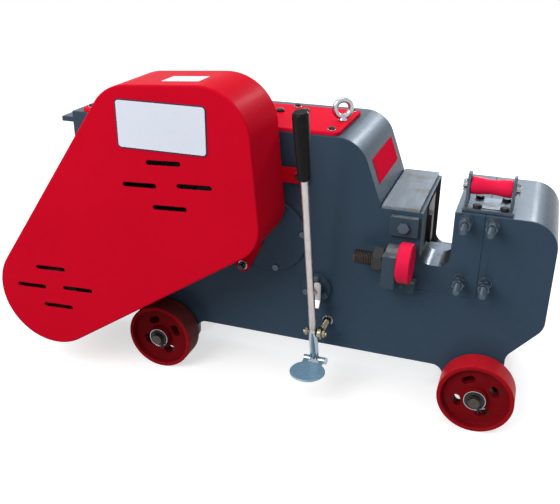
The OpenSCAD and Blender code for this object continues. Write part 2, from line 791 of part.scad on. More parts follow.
// Belt guard: a deep pressed cover and its flat back plate
guard_low = [motor_c[0], motor_c[1], guard_low_r];
guard_clear = 10;
guard_top_z = drive_z + fly_r + guard_clear;
head_r = 105;
head_rise = 7;
head_z = guard_top_z + head_rise - head_r;
head_near = 76.5;
head_far = 74;
heel_r = 80;
heel_near = 117;
guard_circles = [
  guard_low,
  [drive_c[0] + heel_near, drive_z - heel_r, heel_r],
  [drive_c[0] + head_near, head_z, head_r],
  [drive_c[0] - head_far, head_z, head_r - guard_clear]];
vent_a = [57, 52];
vent_b = [66, -42];
vent_tilt = 3;
vent_drop = 11;
vent_shift = 21;
vent_groups = [drive_c - [0, vent_drop], motor_c + [vent_shift, vent_shift]];
tab_near = [232, -11];
tab_low = [99, -236];
stud_upper = [130, -90];
stud_lower = [150, 30];
tab_reach = 60;
guard_studs_at = [
  drive_c + tab_near,
  drive_c + tab_low,
  [rear_x, body_top] + stud_upper,
  [rear_x, bay_z] + stud_lower];
guard_stud_r = 6;
guard_stud_out = 16;
guard_tab_r = 17;
guard_washer_t = 2;
spacer_rim = 5;
shaft_hole = 14;

module vent(p) {
  translate(p) rotate(vent_tilt) {
    square([vent_l - vent_w, vent_w], center = true);
    for (s = [-1, 1]) translate([s * (vent_l - vent_w) / 2, 0]) circle(d = vent_w);
  }
}
module belt_guard() {
  color("crimson") difference() {
    slab(guard_v, guard_d) polygon(band(guard_circles, 6));
    slab(guard_v + guard_t, guard_d) polygon(band(shrunk(guard_circles, guard_t), 6));
    for (g = vent_groups) for (i = [-0.5, 0.5]) for (j = [-0.5, 0.5])
      slab(guard_v - 1, guard_t + 2) vent(g + i * vent_a + j * vent_b);
  }
}
module guard_back() {
  color("crimson") difference() {
    union() {
      slab(-guard_gap, guard_t) polygon(band(guard_circles, 6));
      for (i = [0, 1]) {
        c = guard_studs_at[i];
        inside = i == 0 ? c - [tab_reach, 0] : c + [tab_reach / 2, tab_reach];
        tab = [[c[0], c[1], guard_tab_r], [inside[0], inside[1], guard_tab_r]];
        slab(-guard_gap, guard_t) polygon(band(tab));
      }
    }
    bar_y(drive_c, -guard_gap - 1, guard_t + 2, shaft_r + shaft_hole);
    bar_y(motor_c, -guard_gap - 1, guard_t + 2, motor_shaft_r + shaft_hole);
    for (p = guard_studs_at) bar_y(p, -guard_gap - 1, guard_t + 2, guard_stud_r + seat);
  }
}
module guard_studs() {
  color("silver") for (p = guard_studs_at) {
    bar_y(p, -guard_gap - guard_stud_out, guard_gap + guard_stud_out, guard_stud_r);
    bar_y(p, -guard_gap + guard_t, guard_gap - guard_t, guard_stud_r + spacer_rim);
  }
}
module guard_nuts() {
  nut_h = head_h(guard_stud_r);
  color("silver") for (p = guard_studs_at) difference() {
    union() {
      bar_y(p, -guard_gap - guard_washer_t, guard_washer_t, guard_stud_r + spacer_rim);
      hex_y(p, -guard_gap - guard_washer_t - nut_h, nut_h, hex_r(guard_stud_r));
    }
    bar_y(p, -guard_gap - guard_stud_out, guard_stud_out + 1, guard_stud_r + seat);
  }
}

// Motor on its plate in the bay
motor_v = 24;
motor_lift = 2;
motor_plate_t = 12;
motor_plate_edge = 9;
motor_plate_side = 14;
plate_flange = 30;
motor_foot_w = 190;
motor_foot_t = 12;
motor_foot_in = 14;
motor_cradle_w = 120;
motor_cradle_h = 42;
motor_foot_z = motor_z - motor_r - motor_lift;
motor_foot_v0 = motor_v + motor_foot_in;
motor_foot_v1 = motor_v + motor_l - motor_foot_in;
motor_hole_x = 80;
motor_hole_in = 41;
motor_hole_r = 6;
motor_holes = [for (x = [-motor_hole_x, motor_hole_x]) for (v = [motor_hole_in, motor_l - motor_hole_in])
  [motor_c[0] + x, motor_v + v]];
rib_n = 36;
rib_h = 9;
rib_t = 3;
rib_in = 8;
core_r = motor_r - rib_h;
shield_l = 22;
shield_step = 6;
stator_t = 40;
stator_wall = 10;
rotor_gap = 1;
rotor_in = 12;
rotor_r = core_r - stator_t;
cowl_l = 86;
cowl_t = 3;
cowl_grip = 7;
cowl_nose = 14;
grille_r = [26, 44, 62];
grille_w = 9;
grille_turn = 44;
fan_gap = 6;
fan_l = 40;
fan_t = 3;
fan_n = 8;
fan_hub_r = 26;
fan_tip_gap = 8;
fan_v = motor_v + motor_l + fan_gap;
box_half = 45;
box_in = 40;
box_l = 100;
box_h = 44;

module motor_plate() {
  v0 = motor_v - motor_plate_side;
  v1 = motor_v + motor_l + motor_plate_side;
  low = motor_foot_z - motor_plate_t;
  color("slategray") difference() {
    union() {
      block(motor_c[0] - motor_foot_w / 2 - motor_plate_edge, v0, low, bay_x, v1, motor_foot_z);
      block(bay_x - motor_plate_t, v0, low, bay_x, v1, belly_z + plate_flange);
    }
    for (p = motor_holes) bar_z(p[0], p[1], low - 1, motor_plate_t + 2, motor_hole_r + seat);
  }
}
module motor_housing() {
  foot = motor_foot_w / 2;
  cradle = motor_cradle_w / 2;
  color("slategray") difference() {
    union() {
      bar_y(motor_c, motor_v, motor_l, core_r);
      for (i = [0:rib_n - 1])
        translate([motor_c[0], front_y + motor_v + rib_in, motor_z]) rotate([0, i * 360 / rib_n, 0])
          translate([-rib_t / 2, 0, core_r - rib_t]) cube([rib_t, motor_l - 2 * rib_in, rib_h + rib_t]);
      bar_y(motor_c, motor_v - shield_l, shield_l, core_r - shield_step);
      block(motor_c[0] - foot, motor_foot_v0, motor_foot_z, motor_c[0] + foot, motor_foot_v1,
        motor_foot_z + motor_foot_t);
      block(motor_c[0] - cradle, motor_foot_v0, motor_foot_z, motor_c[0] + cradle, motor_foot_v1,
        motor_foot_z + motor_cradle_h);
    }
    bar_y(motor_c, motor_v, motor_l - stator_wall, rotor_r + rotor_gap);
    bar_y(motor_c, motor_v - shield_l - 1, motor_l + shield_l + 2, motor_shaft_r + run);
    for (p = motor_holes) bar_z(p[0], p[1], motor_foot_z - 1, motor_foot_t + 2, motor_hole_r + seat);
  }
}
module motor_fan_cowl() {
  v = motor_v + motor_l;
  r = core_r + cowl_t;
  step = 360 / 6;
  color("slategray") difference() {
    turned_y(motor_c, v, [[0, -cowl_grip], [r, -cowl_grip], [r, cowl_l - cowl_nose], [r - cowl_nose, cowl_l],
      [0, cowl_l]]);
    turned_y(motor_c, v, [[0, -cowl_grip - 1], [core_r, -cowl_grip - 1],
      [core_r, cowl_l - cowl_nose - cowl_t / 2], [core_r - cowl_nose + cowl_t / 2, cowl_l - cowl_t],
      [0, cowl_l - cowl_t]]);
    for (g = grille_r) for (i = [0:5]) slab(v + cowl_l - cowl_t - 1, cowl_t + 2) translate(motor_c)
      polygon(curved_slot(g, g + grille_w, i * step + (step - grille_turn) / 2, grille_turn));
  }
}
module terminal_box() {
  v = motor_v + box_in;
  color("slategray") difference() {
    block(motor_c[0] - box_half, v, motor_z, motor_c[0] + box_half, v + box_l, motor_z + motor_r + box_h);
    bar_y(motor_c, motor_v, motor_l, motor_r);
  }
}
module motor_bolts() {
  head = head_h(motor_hole_r);
  low = motor_foot_z - motor_plate_t - head;
  color("dimgray") for (p = motor_holes) {
    bar_z(p[0], p[1], low, head + motor_plate_t + motor_foot_t, motor_hole_r);
    hex_z(p[0], p[1], motor_foot_z + motor_foot_t, head, hex_r(motor_hole_r));
    hex_z(p[0], p[1], low, head, hex_r(motor_hole_r));
  }
}
module motor_rotor() {
  color("silver") {
    bar_y(motor_c, fly_v, fan_v + fan_l - fly_v, motor_shaft_r);
    bar_y(motor_c, motor_v + rotor_in, motor_l - stator_wall - 2 * rotor_in, rotor_r);
  }
}
module motor_fan() {
  r = core_r - fan_tip_gap;
  color("black") difference() {
    union() {
      bar_y(motor_c, fan_v, fan_l, fan_hub_r);
      bar_y(motor_c, fan_v, fan_t, r);
      for (i = [0:fan_n - 1])
        translate([motor_c[0], front_y + fan_v, motor_z]) rotate([0, i * 360 / fan_n, 0])
          translate([-fan_t / 2, 0, fan_hub_r - fan_t]) cube([fan_t, fan_l, r - fan_hub_r]);
    }
    bar_y(motor_c, fan_v - 1, fan_l + 2, motor_shaft_r);
  }
}

// Belt drive
belt_side_gap = 0.5;
belt_sink = 1;
belt_floor_gap = 2;
groove_w = belt_w + 2 * belt_side_gap;
groove_deep = belt_sink + belt_h + belt_floor_gap;
fly_web = 29;
fly_hub_rim = 26;
fly_rim_t = 14;
fly_hole_r = 27;
fly_holes = 6;
function groove_profile(r, hole, w) = concat([[hole, 0], [r, 0]],
  [for (i = [0:belts_n - 1]) let (a = belt_v - fly_v + i * belt_pitch - belt_side_gap, d = groove_deep)
    each [[r, a], [r - d, a], [r - d, a + groove_w], [r, a + groove_w]]],
  [[r, w], [hole, w]]);
module turned_y(c, v, profile) {
  translate([c[0], front_y + v, c[1]]) rotate([-90, 0, 0]) rotate_extrude() polygon(profile);
}
module motor_pulley() {
  color("dimgray") turned_y(motor_c, fly_v, groove_profile(motor_pulley_r, motor_shaft_r, fly_w));
}
module flywheel() {
  rim_in = fly_r - groove_deep - fly_rim_t;
  hub = shaft_r + fly_hub_rim;
  deep = (fly_w - fly_web) / 2;
  color("dimgray") difference() {
    turned_y(drive_c, fly_v, groove_profile(fly_r, shaft_r, fly_w));
    for (v = [fly_v - 1, fly_v + fly_w - deep]) ring_y(drive_c, v, deep + 1, rim_in, hub);
    for (i = [0:fly_holes - 1])
      bar_y(polar(drive_c, (rim_in + hub) / 2, i * 360 / fly_holes), fly_v, fly_w, fly_hole_r);
  }
}
module v_belts() {
  outer = [[motor_c[0], motor_c[1], motor_pulley_r - belt_sink], [drive_c[0], drive_c[1], fly_r - belt_sink]];
  color("black") for (i = [0:belts_n - 1]) slab(belt_v + i * belt_pitch, belt_w) difference() {
    polygon(band(outer, 6));
    polygon(band(shrunk(outer, belt_h), 6));
  }
}

// Shafts, gears and bearings inside the body
to_drive = heading(middle_c, drive_c);
to_crank = heading(middle_c, crank_c);
pinion_over = 3;
shaft_end = 8;
end_play = 1;
gear_rim = 10;
gear_hub_rim = 22;
crank_hub_rim = 28;
recess = 0.3;

module drive_shaft() {
  color("silver") {
    bar_y(drive_c, fly_v - shaft_end, body_d - fly_v + shaft_end - end_play, shaft_r);
    gear(drive_c, fast_v - pinion_over, fast_w + 2 * pinion_over, fast_pinion_n, fast_m,
      to_drive + 180 + 180 / fast_pinion_n);
  }
}
module bearing_pair(c, inner, outer) {
  for (v = [0, inner_d]) ring_y(c, v, side_t, outer, inner + run);
}
module drive_bearings() {
  color("silver") bearing_pair(drive_c, shaft_r, bearing_r);
}
module middle_shaft() {
  color("silver") {
    bar_y(middle_c, end_play, body_d - 2 * end_play, shaft_r);
    gear(middle_c, slow_v - pinion_over, slow_w + 2 * pinion_over, slow_pinion_n, slow_m, to_crank);
  }
}
module gear_wheel(c, v, w, n, m, phase, bore, hub) {
  root = pitch_radius(n, m) - dedendum * m - gear_rim;
  difference() {
    gear(c, v, w, n, m, phase);
    for (v0 = [v - 1, v + w * (1 - recess)]) ring_y(c, v0, w * recess + 1, root, hub);
    for (i = [0:5]) bar_y(polar(c, (root + hub) / 2, i * 60), v - 1, w + 2, (root - hub) * recess);
    bar_y(c, v - 1, w + 2, bore);
  }
}
module middle_gear() {
  color("silver") gear_wheel(middle_c, fast_v, fast_w, fast_gear_n, fast_m, to_drive,
    shaft_r, shaft_r + gear_hub_rim);
}
module middle_bearings() {
  color("silver") bearing_pair(middle_c, shaft_r, bearing_r);
}
module crank_gear() {
  color("silver") gear_wheel(crank_c, slow_v, slow_w, slow_gear_n, slow_m, to_crank + 180 + 180 / slow_gear_n,
    crank_r + run, crank_r + crank_hub_rim);
}
eccentric_wall = 2;
rod_eye_wall = 16;
rod_small_r = 20;
rod_neck_r = 18;
rod_flare = 8;
rod_side_gap = 4;
neck_side_gap = 8;
eccentric_r = crank_r + throw + eccentric_wall;
crank_pin_c = crank_c - [throw, 0];
pin_c = [pin_x, ram_z];

module eccentric_shaft() {
  color("silver") {
    bar_y(crank_c, end_play, body_d - 2 * end_play, crank_r);
    bar_y(crank_pin_c, rod_v - end_play, rod_w + 2 * end_play, eccentric_r);
  }
}
module crank_bearings() {
  color("silver") bearing_pair(crank_c, crank_r, crank_bearing_r);
}
module connecting_rod() {
  fork_v = ram_v + fork_t;
  fork_w = ram_w - 2 * fork_t;
  neck = [[crank_pin_c[0], crank_pin_c[1], rod_neck_r + rod_flare], [pin_c[0], pin_c[1], rod_neck_r]];
  color("silver") difference() {
    union() {
      bar_y(crank_pin_c, rod_v, rod_w, eccentric_r + rod_eye_wall);
      slab(fork_v + neck_side_gap, fork_w - 2 * neck_side_gap) polygon(band(neck));
      bar_y(pin_c, fork_v + rod_side_gap, fork_w - 2 * rod_side_gap, rod_small_r);
    }
    bar_y(crank_pin_c, rod_v - 1, rod_w + 2, eccentric_r + run);
    bar_y(pin_c, ram_v, ram_w, pin_r);
  }
}

// Bearing covers outside the side plates, as [centre, radius, screws, turn of the first screw]
cover_screw_r = 4;
screw_head_h = 3;
screw_rim = 3;
screw_deep = 9;
screw_edge = 8;
shaft_cover_rim = 16;
crank_screw_turn = -80;
crank_screw_n = 4;
shaft_screw_n = 4;
shaft_screw_turn = 45;
covers = [
  [crank_c, crank_cover_r, crank_screw_n, crank_screw_turn],
  [middle_c, bearing_r + shaft_cover_rim, shaft_screw_n, shaft_screw_turn],
  [drive_c, bearing_r + shaft_cover_rim, shaft_screw_n, shaft_screw_turn]];
function ring_spots(c, r, n, turn) = [for (i = [0:n - 1]) polar(c, r, turn + i * 360 / n)];
cover_screw_spots = [for (c = covers) each ring_spots(c[0], c[1] - screw_edge, c[2], c[3])];

module bearing_covers() {
  color("slategray") difference() {
    for (v = [-cover_t, body_d]) for (c = covers) bar_y(c[0], v, cover_t, c[1]);
    bar_y(drive_c, -cover_t - 1, cover_t + 1, shaft_r + gap);
    for (v = [-cover_t, body_d]) for (p = cover_screw_spots)
      bar_y(p, v - 1, cover_t + 2, cover_screw_r + seat);
  }
}
module bearing_cover_bolts() {
  color("dimgray") for (p = cover_screw_spots) {
    bar_y(p, -cover_t, cover_t + screw_deep, cover_screw_r);
    bar_y(p, -cover_t - screw_head_h, screw_head_h, cover_screw_r + screw_rim);
    bar_y(p, body_d - screw_deep, cover_t + screw_deep, cover_screw_r);
    bar_y(p, body_d + cover_t, screw_head_h, cover_screw_r + screw_rim);
  }
}

// Top cover with its bolts, oil plugs and lifting eye
cover_x1 = end_x - cover_near;
cover_x0 = cover_x1 - cover_l;
cover_v = 2;
cover_bolt_r = 5;
cover_bolt_edge = 18;
cover_bolt_near = 146;
cover_bolt_far = 364;
cover_columns = [cover_x1 - cover_bolt_edge, cover_x1 - cover_bolt_near, cover_x1 - cover_bolt_far,
  cover_x0 + cover_bolt_edge];
cover_bolt_spots = [for (x = cover_columns) for (v = [cover_bolt_edge, cover_w - cover_bolt_edge])
  [x, cover_v + v]];
cover_z = body_top + cover_plate_t;
plug_near = [115, 148];
plug_far = [169, 132];
plug_spots = [for (p = [plug_far, plug_near]) [cover_x1 - p[0], p[1]]];
plug_r = 9;
plug_h = 8;
plug_neck_r = 6;
plug_deep = 4;
eye_edge = 17;
eye_x = cover_x1 - eye_edge;
eye_v = 100;
eye_turn = 35;
eye_shank_r = 5;
eye_bar_r = 5;
eye_base_r = 11;
eye_base_h = 7;
eye_neck = 3;
eye_land = 1;
eye_z = cover_z + eye_base_h + eye_neck + eye_bar_r + eye_r;

module top_cover() {
  color("crimson") difference() {
    block(cover_x0, cover_v, body_top, cover_x0 + cover_l, cover_v + cover_w, cover_z);
    for (p = cover_bolt_spots) bar_z(p[0], p[1], body_top - 1, cover_plate_t + 2, cover_bolt_r + seat);
    for (p = plug_spots) bar_z(p[0], p[1], body_top - 1, cover_plate_t + 2, plug_neck_r + seat);
    bar_z(eye_x, eye_v, body_top - 1, cover_plate_t + 2, eye_shank_r + seat);
  }
}
module cover_bolts() {
  color("black") for (p = cover_bolt_spots) {
    bar_z(p[0], p[1], body_top - wall_t, wall_t + cover_plate_t, cover_bolt_r);
    hex_z(p[0], p[1], cover_z, head_h(cover_bolt_r), hex_r(cover_bolt_r));
  }
}
module oil_plugs() {
  color("black") for (p = plug_spots) {
    bar_z(p[0], p[1], body_top - plug_deep, cover_plate_t + plug_deep, plug_neck_r);
    bar_z(p[0], p[1], cover_z, plug_h, plug_r);
  }
}
module at_eye() {
  translate([eye_x, front_y + eye_v, eye_z]) rotate([90, 0, eye_turn]) children();
}
module lifting_eye() {
  color("silver") difference() {
    union() {
      bar_z(eye_x, eye_v, cover_z, eye_base_h, eye_base_r);
      bar_z(eye_x, eye_v, body_top - wall_t, wall_t + cover_plate_t, eye_shank_r);
      bar_z(eye_x, eye_v, cover_z + eye_base_h, eye_neck + eye_bar_r, eye_bar_r);
      at_eye() rotate_extrude() translate([eye_r + eye_bar_r - eye_land, 0]) circle(r = eye_bar_r);
    }
    at_eye() cylinder(r = eye_r, h = 4 * eye_bar_r, center = true);
  }
}

// Clutch flange and the sliding rod with its bent arm
clutch_c = [clutch_x, clutch_z];
clutch_spigot_r = 16;
clutch_rod_r = 10;
clutch_out = 30;
clutch_in = 4;
clutch_flange_t = 10;
clutch_thread_r = 5.5;
flange_bolt_n = 3;
flange_bolt_turn = 87;
flange_bolt_spots = ring_spots(clutch_c, clutch_flange_r - screw_edge, flange_bolt_n, flange_bolt_turn);
flange_head_h = 5;
arm_w = 16;
arm_t = 6;
arm_r = 6;
arm_up = 11;
arm_drop = 48;
arm_bend = 16;
arm_bend_turn = 60;

module clutch_flange() {
  color("slategray") difference() {
    union() {
      bar_y(clutch_c, -clutch_flange_t, clutch_flange_t, clutch_flange_r);
      bar_y(clutch_c, 0, side_t, clutch_spigot_r);
      for (p = flange_bolt_spots) {
        bar_y(p, -clutch_flange_t - flange_head_h, flange_head_h, cover_screw_r + screw_rim);
        bar_y(p, 0, screw_deep, cover_screw_r);
      }
    }
    bar_y(clutch_c, -clutch_flange_t - 1, clutch_flange_t + side_t + 2, clutch_rod_r + run);
  }
}
module clutch_rod() {
  arm = box_corners(-arm_w / 2, -arm_drop, arm_w / 2, arm_up, arm_r);
  nut = head_h(clutch_thread_r);
  color("silver") {
    bar_y(clutch_c, -clutch_out, clutch_out + side_t + clutch_in, clutch_rod_r);
    slab(-clutch_out, arm_t) translate(clutch_c) polygon(rounded(arm));
    translate([clutch_x - arm_w / 2, front_y - clutch_out + arm_t, clutch_z - arm_drop + arm_r])
      rotate([-arm_bend_turn, 0, 0]) translate([0, -arm_t, -arm_bend]) cube([arm_w, arm_t, arm_bend]);
    hex_y(clutch_c, -clutch_out - nut, nut, hex_r(clutch_thread_r));
  }
}

// The lever is drawn upright about its pivot, then leant towards the operator
eye_bolt_r = 6;
eye_bolt_end = 2;
eye_ring_r = 13;
eye_ring_t = 10;
pivot_bolt_r = 5;
pivot_stub = 4;
pivot_nut_h = head_h(pivot_bolt_r);
eye_ring_x = lever_x + lever_tube_r + nut_gap;
eye_bolt_c = [eye_ring_x + eye_ring_t / 2, pivot_z];
pivot_x0 = lever_x - lever_tube_r - nut_gap - pivot_nut_h;
pivot_x1 = eye_ring_x + eye_ring_t;
tube_top = 30;
grip_cap = 6;
pedal_bar_r = 4;
pedal_bar_half = 26;
pedal_t = 5;
lug_r = 7;
lug_gap = 2;
lug_edge = 3;

// Cylinder along X at the height of the lever's pivot, six-sided for a nut
module pivot_bar(x, len, r, sides = $fn) {
  translate([x, front_y - pivot_out, pivot_z]) rotate([0, 90, 0]) cylinder(r = r, h = len, $fn = sides);
}
module at_lever() {
  translate([lever_x, front_y - pivot_out, pivot_z]) rotate([lever_lean, 0, 0]) children();
}
module clutch_lever() {
  color("silver") at_lever() difference() {
    union() {
      translate([0, 0, tube_top]) cylinder(r = lever_r, h = lever_up - tube_top - grip_cap);
      translate([0, 0, -lever_down]) cylinder(r = lever_tube_r, h = lever_down + tube_top);
      translate([0, 0, -lever_down]) rotate([0, 90, 0])
        cylinder(r = pedal_bar_r, h = 2 * pedal_bar_half, center = true);
    }
    rotate([0, 90, 0]) cylinder(r = pivot_bolt_r + run, h = 4 * lever_tube_r, center = true);
  }
}
module lever_grip() {
  color("black") at_lever() translate([0, 0, lever_up - grip_l]) difference() {
    cylinder(r = grip_r, h = grip_l);
    translate([0, 0, -1]) cylinder(r = lever_r, h = grip_l - grip_cap + 1);
  }
}
module lever_pivot() {
  nut = head_h(eye_bolt_r);
  color("goldenrod") {
    difference() {
      union() {
        pivot_bar(eye_ring_x, eye_ring_t, eye_ring_r);
        bar_y(eye_bolt_c, -pivot_out, pivot_out + side_t - eye_bolt_end, eye_bolt_r);
        hex_y(eye_bolt_c, -nut, nut, hex_r(eye_bolt_r));
      }
      pivot_bar(eye_ring_x - 1, eye_ring_t + 2, pivot_bolt_r);
    }
    pivot_bar(pivot_x0 - pivot_stub, pivot_x1 - pivot_x0 + pivot_nut_h + 2 * pivot_stub, pivot_bolt_r);
    pivot_bar(pivot_x0, pivot_nut_h, hex_r(pivot_bolt_r), 6);
    pivot_bar(pivot_x1, pivot_nut_h, hex_r(pivot_bolt_r), 6);
  }
}
module foot_pedal() {
  reach = lug_r + lever_tube_r + pedal_r - 1;
  lug_l = pedal_bar_half - lever_tube_r - lug_gap - lug_edge;
  y = front_y - pivot_out + lever_down * sin(lever_lean);
  z = pivot_z - lever_down * cos(lever_lean);
  color("silver") translate([lever_x, y, z]) difference() {
    union() {
      translate([0, -reach, -pedal_t / 2]) cylinder(r = pedal_r, h = pedal_t);
      for (x0 = [lug_edge - pedal_bar_half, lever_tube_r + lug_gap]) {
        translate([x0, 0, 0]) rotate([0, 90, 0]) cylinder(r = lug_r, h = lug_l);
        translate([x0, pedal_r / 2 - reach, -pedal_t / 2]) cube([lug_l, reach - pedal_r / 2, pedal_t]);
      }
    }
    rotate([0, 90, 0]) cylinder(r = pedal_bar_r, h = 4 * pedal_bar_half, center = true);
  }
}

body_shell();
throat_block();
top_cover();
cover_bolts();
oil_plugs();
lifting_eye();
fixed_blade();
moving_blade();
ram();
wrist_pin();
guide_plate();
slide_cover();
slide_bolt();
jaw_studs();
jaw_nuts();
hold_down_bracket();
hold_down_screw();
hold_down_disc();
lock_nut();
roller_stand();
stand_bolts();
feed_roller();
roller_axle();
axles();
front_wheel_near();
front_wheel_far();
rear_wheel_near();
rear_wheel_far();
axle_washers();
belt_guard();
guard_back();
guard_studs();
guard_nuts();
motor_plate();
motor_housing();
motor_fan_cowl();
terminal_box();
motor_bolts();
motor_rotor();
motor_fan();
motor_pulley();
v_belts();
flywheel();
drive_shaft();
drive_bearings();
middle_shaft();
middle_gear();
middle_bearings();
crank_gear();
eccentric_shaft();
crank_bearings();
connecting_rod();
bearing_covers();
bearing_cover_bolts();
clutch_flange();
clutch_rod();
clutch_lever();
lever_grip();
lever_pivot();
foot_pedal();
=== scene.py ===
"""Dresses the rebar cutter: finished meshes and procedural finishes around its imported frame, in metres."""

import json
import logging
import math
from collections.abc import Callable, Iterable, Sequence
from dataclasses import dataclass
from enum import Enum

import bmesh
import bpy
from mathutils import Matrix, Vector

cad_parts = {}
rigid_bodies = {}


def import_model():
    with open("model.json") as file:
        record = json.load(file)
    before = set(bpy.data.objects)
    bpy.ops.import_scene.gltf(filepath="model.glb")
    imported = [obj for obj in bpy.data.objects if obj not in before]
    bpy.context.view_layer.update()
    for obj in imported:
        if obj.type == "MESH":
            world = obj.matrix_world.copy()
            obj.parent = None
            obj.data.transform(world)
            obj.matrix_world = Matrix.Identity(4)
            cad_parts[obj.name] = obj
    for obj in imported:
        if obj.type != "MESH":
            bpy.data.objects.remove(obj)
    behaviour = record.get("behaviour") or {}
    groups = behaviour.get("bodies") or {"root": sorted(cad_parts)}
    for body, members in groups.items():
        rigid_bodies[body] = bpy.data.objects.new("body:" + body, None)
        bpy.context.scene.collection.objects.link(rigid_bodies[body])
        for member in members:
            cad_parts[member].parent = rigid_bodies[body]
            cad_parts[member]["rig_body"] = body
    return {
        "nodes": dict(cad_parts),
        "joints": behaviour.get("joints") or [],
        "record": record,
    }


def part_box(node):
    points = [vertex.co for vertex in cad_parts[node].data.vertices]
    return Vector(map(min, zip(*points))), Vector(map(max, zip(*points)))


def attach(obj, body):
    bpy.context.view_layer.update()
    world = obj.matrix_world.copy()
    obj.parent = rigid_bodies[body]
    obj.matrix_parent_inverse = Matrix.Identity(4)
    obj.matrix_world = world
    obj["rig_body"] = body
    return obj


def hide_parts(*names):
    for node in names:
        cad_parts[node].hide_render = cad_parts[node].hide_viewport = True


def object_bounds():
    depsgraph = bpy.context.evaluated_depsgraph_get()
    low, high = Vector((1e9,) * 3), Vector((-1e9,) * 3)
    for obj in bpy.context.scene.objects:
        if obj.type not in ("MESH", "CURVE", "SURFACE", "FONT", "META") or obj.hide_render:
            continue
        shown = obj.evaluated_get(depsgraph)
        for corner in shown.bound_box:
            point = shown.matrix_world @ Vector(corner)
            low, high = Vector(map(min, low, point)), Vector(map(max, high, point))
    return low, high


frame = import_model()
cad_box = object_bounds()
log = logging.getLogger("rebar_cutter")

MM = 0.001
MERGE = 0.01 * MM
PHOTO_WIDTH = 560.0
SMOOTH_ANGLE = 40.0
CORNER_STEPS = 6
THREAD_DEPTH = 0.61

Mesh = bmesh.types.BMesh
Point = tuple[float, float]
Color = tuple[float, float, float]
WHITE: Color = (1.0, 1.0, 1.0)


class Body(str, Enum):
    """Bodies of the frame that the new pieces ride on."""

    FRAME = "frame"
    LEVER = "lever"
    CLUTCH = "clutch"
    HOLD_DOWN = "hold_down"
    ROLLER = "roller"


class Slot(str, Enum):
    """Finishes of the object, by the record's slot names."""

    BODY = "body_paint"
    MOTOR = "motor_paint"
    GUARD = "guard_red"
    BRIGHT = "bright_red"
    WHEEL = "wheel_red"
    WORN = "worn_steel"
    BARE = "bare_steel"
    DARK = "dark_steel"
    ZINC = "zinc"
    YELLOW = "yellow_zinc"
    LEVER = "lever_steel"
    GRIP = "grip_rubber"
    BELT = "belt_rubber"
    BLACK = "black_bolt"
    IRON = "iron"
    FAN = "fan_plastic"


class Look(str, Enum):
    """Finishes of single faces or pieces that a slot's own finish doesn't cover."""

    WEB = "wheel_web"
    RIM = "rim_red"
    RUSTY = "wheel_rusty"
    OILY = "oily_steel"
    MILLED = "milled_steel"
    STAND = "stand_steel"
    STUD = "stud_steel"
    CHROME = "chrome_tube"
    PEDAL = "pedal_steel"
    SIGN = "sign_white"
    BORDER = "sign_border"
    THROAT = "throat_wall"
    BRACKET = "bracket_paint"
    COVER = "cover_red"
    TAG = "tag_red"
    AXLE = "axle_steel"


Coat = Slot | Look
Finishes = dict[Coat, bpy.types.Material]


class Way(Enum):
    """Directions that a turned piece can point in."""

    RIGHT = (1.0, 0.0, 0.0)
    LEFT = (-1.0, 0.0, 0.0)
    FRONT = (0.0, -1.0, 0.0)
    BACK = (0.0, 1.0, 0.0)
    UP = (0.0, 0.0, 1.0)


@dataclass(frozen=True)
class Span:
    """The box that a node, or one solid of it, fills at rest."""

    lo: Vector
    hi: Vector

    @property
    def centre(self) -> Vector:
        """Middle of the box."""
        return (self.lo + self.hi) / 2

    @property
    def size(self) -> Vector:
        """Edge lengths of the box."""
        return self.hi - self.lo


def span(node: str) -> Span:
    """Box of a whole frame node.

    Args:
        node: The node's name.

    Returns:
        Its box at rest.
    """
    lo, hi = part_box(node)
    return Span(lo, hi)


def solids(node: str) -> list[Span]:
    """Boxes of a node's separate solids, from left to right.

    Args:
        node: The node's name.

    Returns:
        One box for each connected solid.
    """
    bm = bmesh.new()
    bm.from_mesh(frame["nodes"][node].data)
    bmesh.ops.remove_doubles(bm, verts=bm.verts, dist=MERGE)
    left = set(bm.verts)
    found = []
    while left:
        group = {left.pop()}
        edge = list(group)
        while edge:
            near = {e.other_vert(v) for v in edge for e in v.link_edges} - group
            group |= near
            edge = list(near)
        left -= group
        rows = list(zip(*(v.co for v in group)))
        found.append(Span(Vector(map(min, rows)), Vector(map(max, rows))))
    bm.free()
    return sorted(found, key=lambda s: tuple(round(c, 5) for c in s.centre))


def at(origin: Sequence[float], way: Way = Way.UP, turn: float = 0.0) -> Matrix:
    """Matrix that stands a piece, made along +Z, on a point.

    Args:
        origin: Where its foot goes.
        way: Where its axis points.
        turn: Turn about its own axis, in degrees.

    Returns:
        The placing matrix.
    """
    stand = Vector(way.value).to_track_quat("Z", "Y").to_matrix().to_4x4()
    return Matrix.Translation(Vector(origin)) @ stand @ Matrix.Rotation(math.radians(turn), 4, "Z")


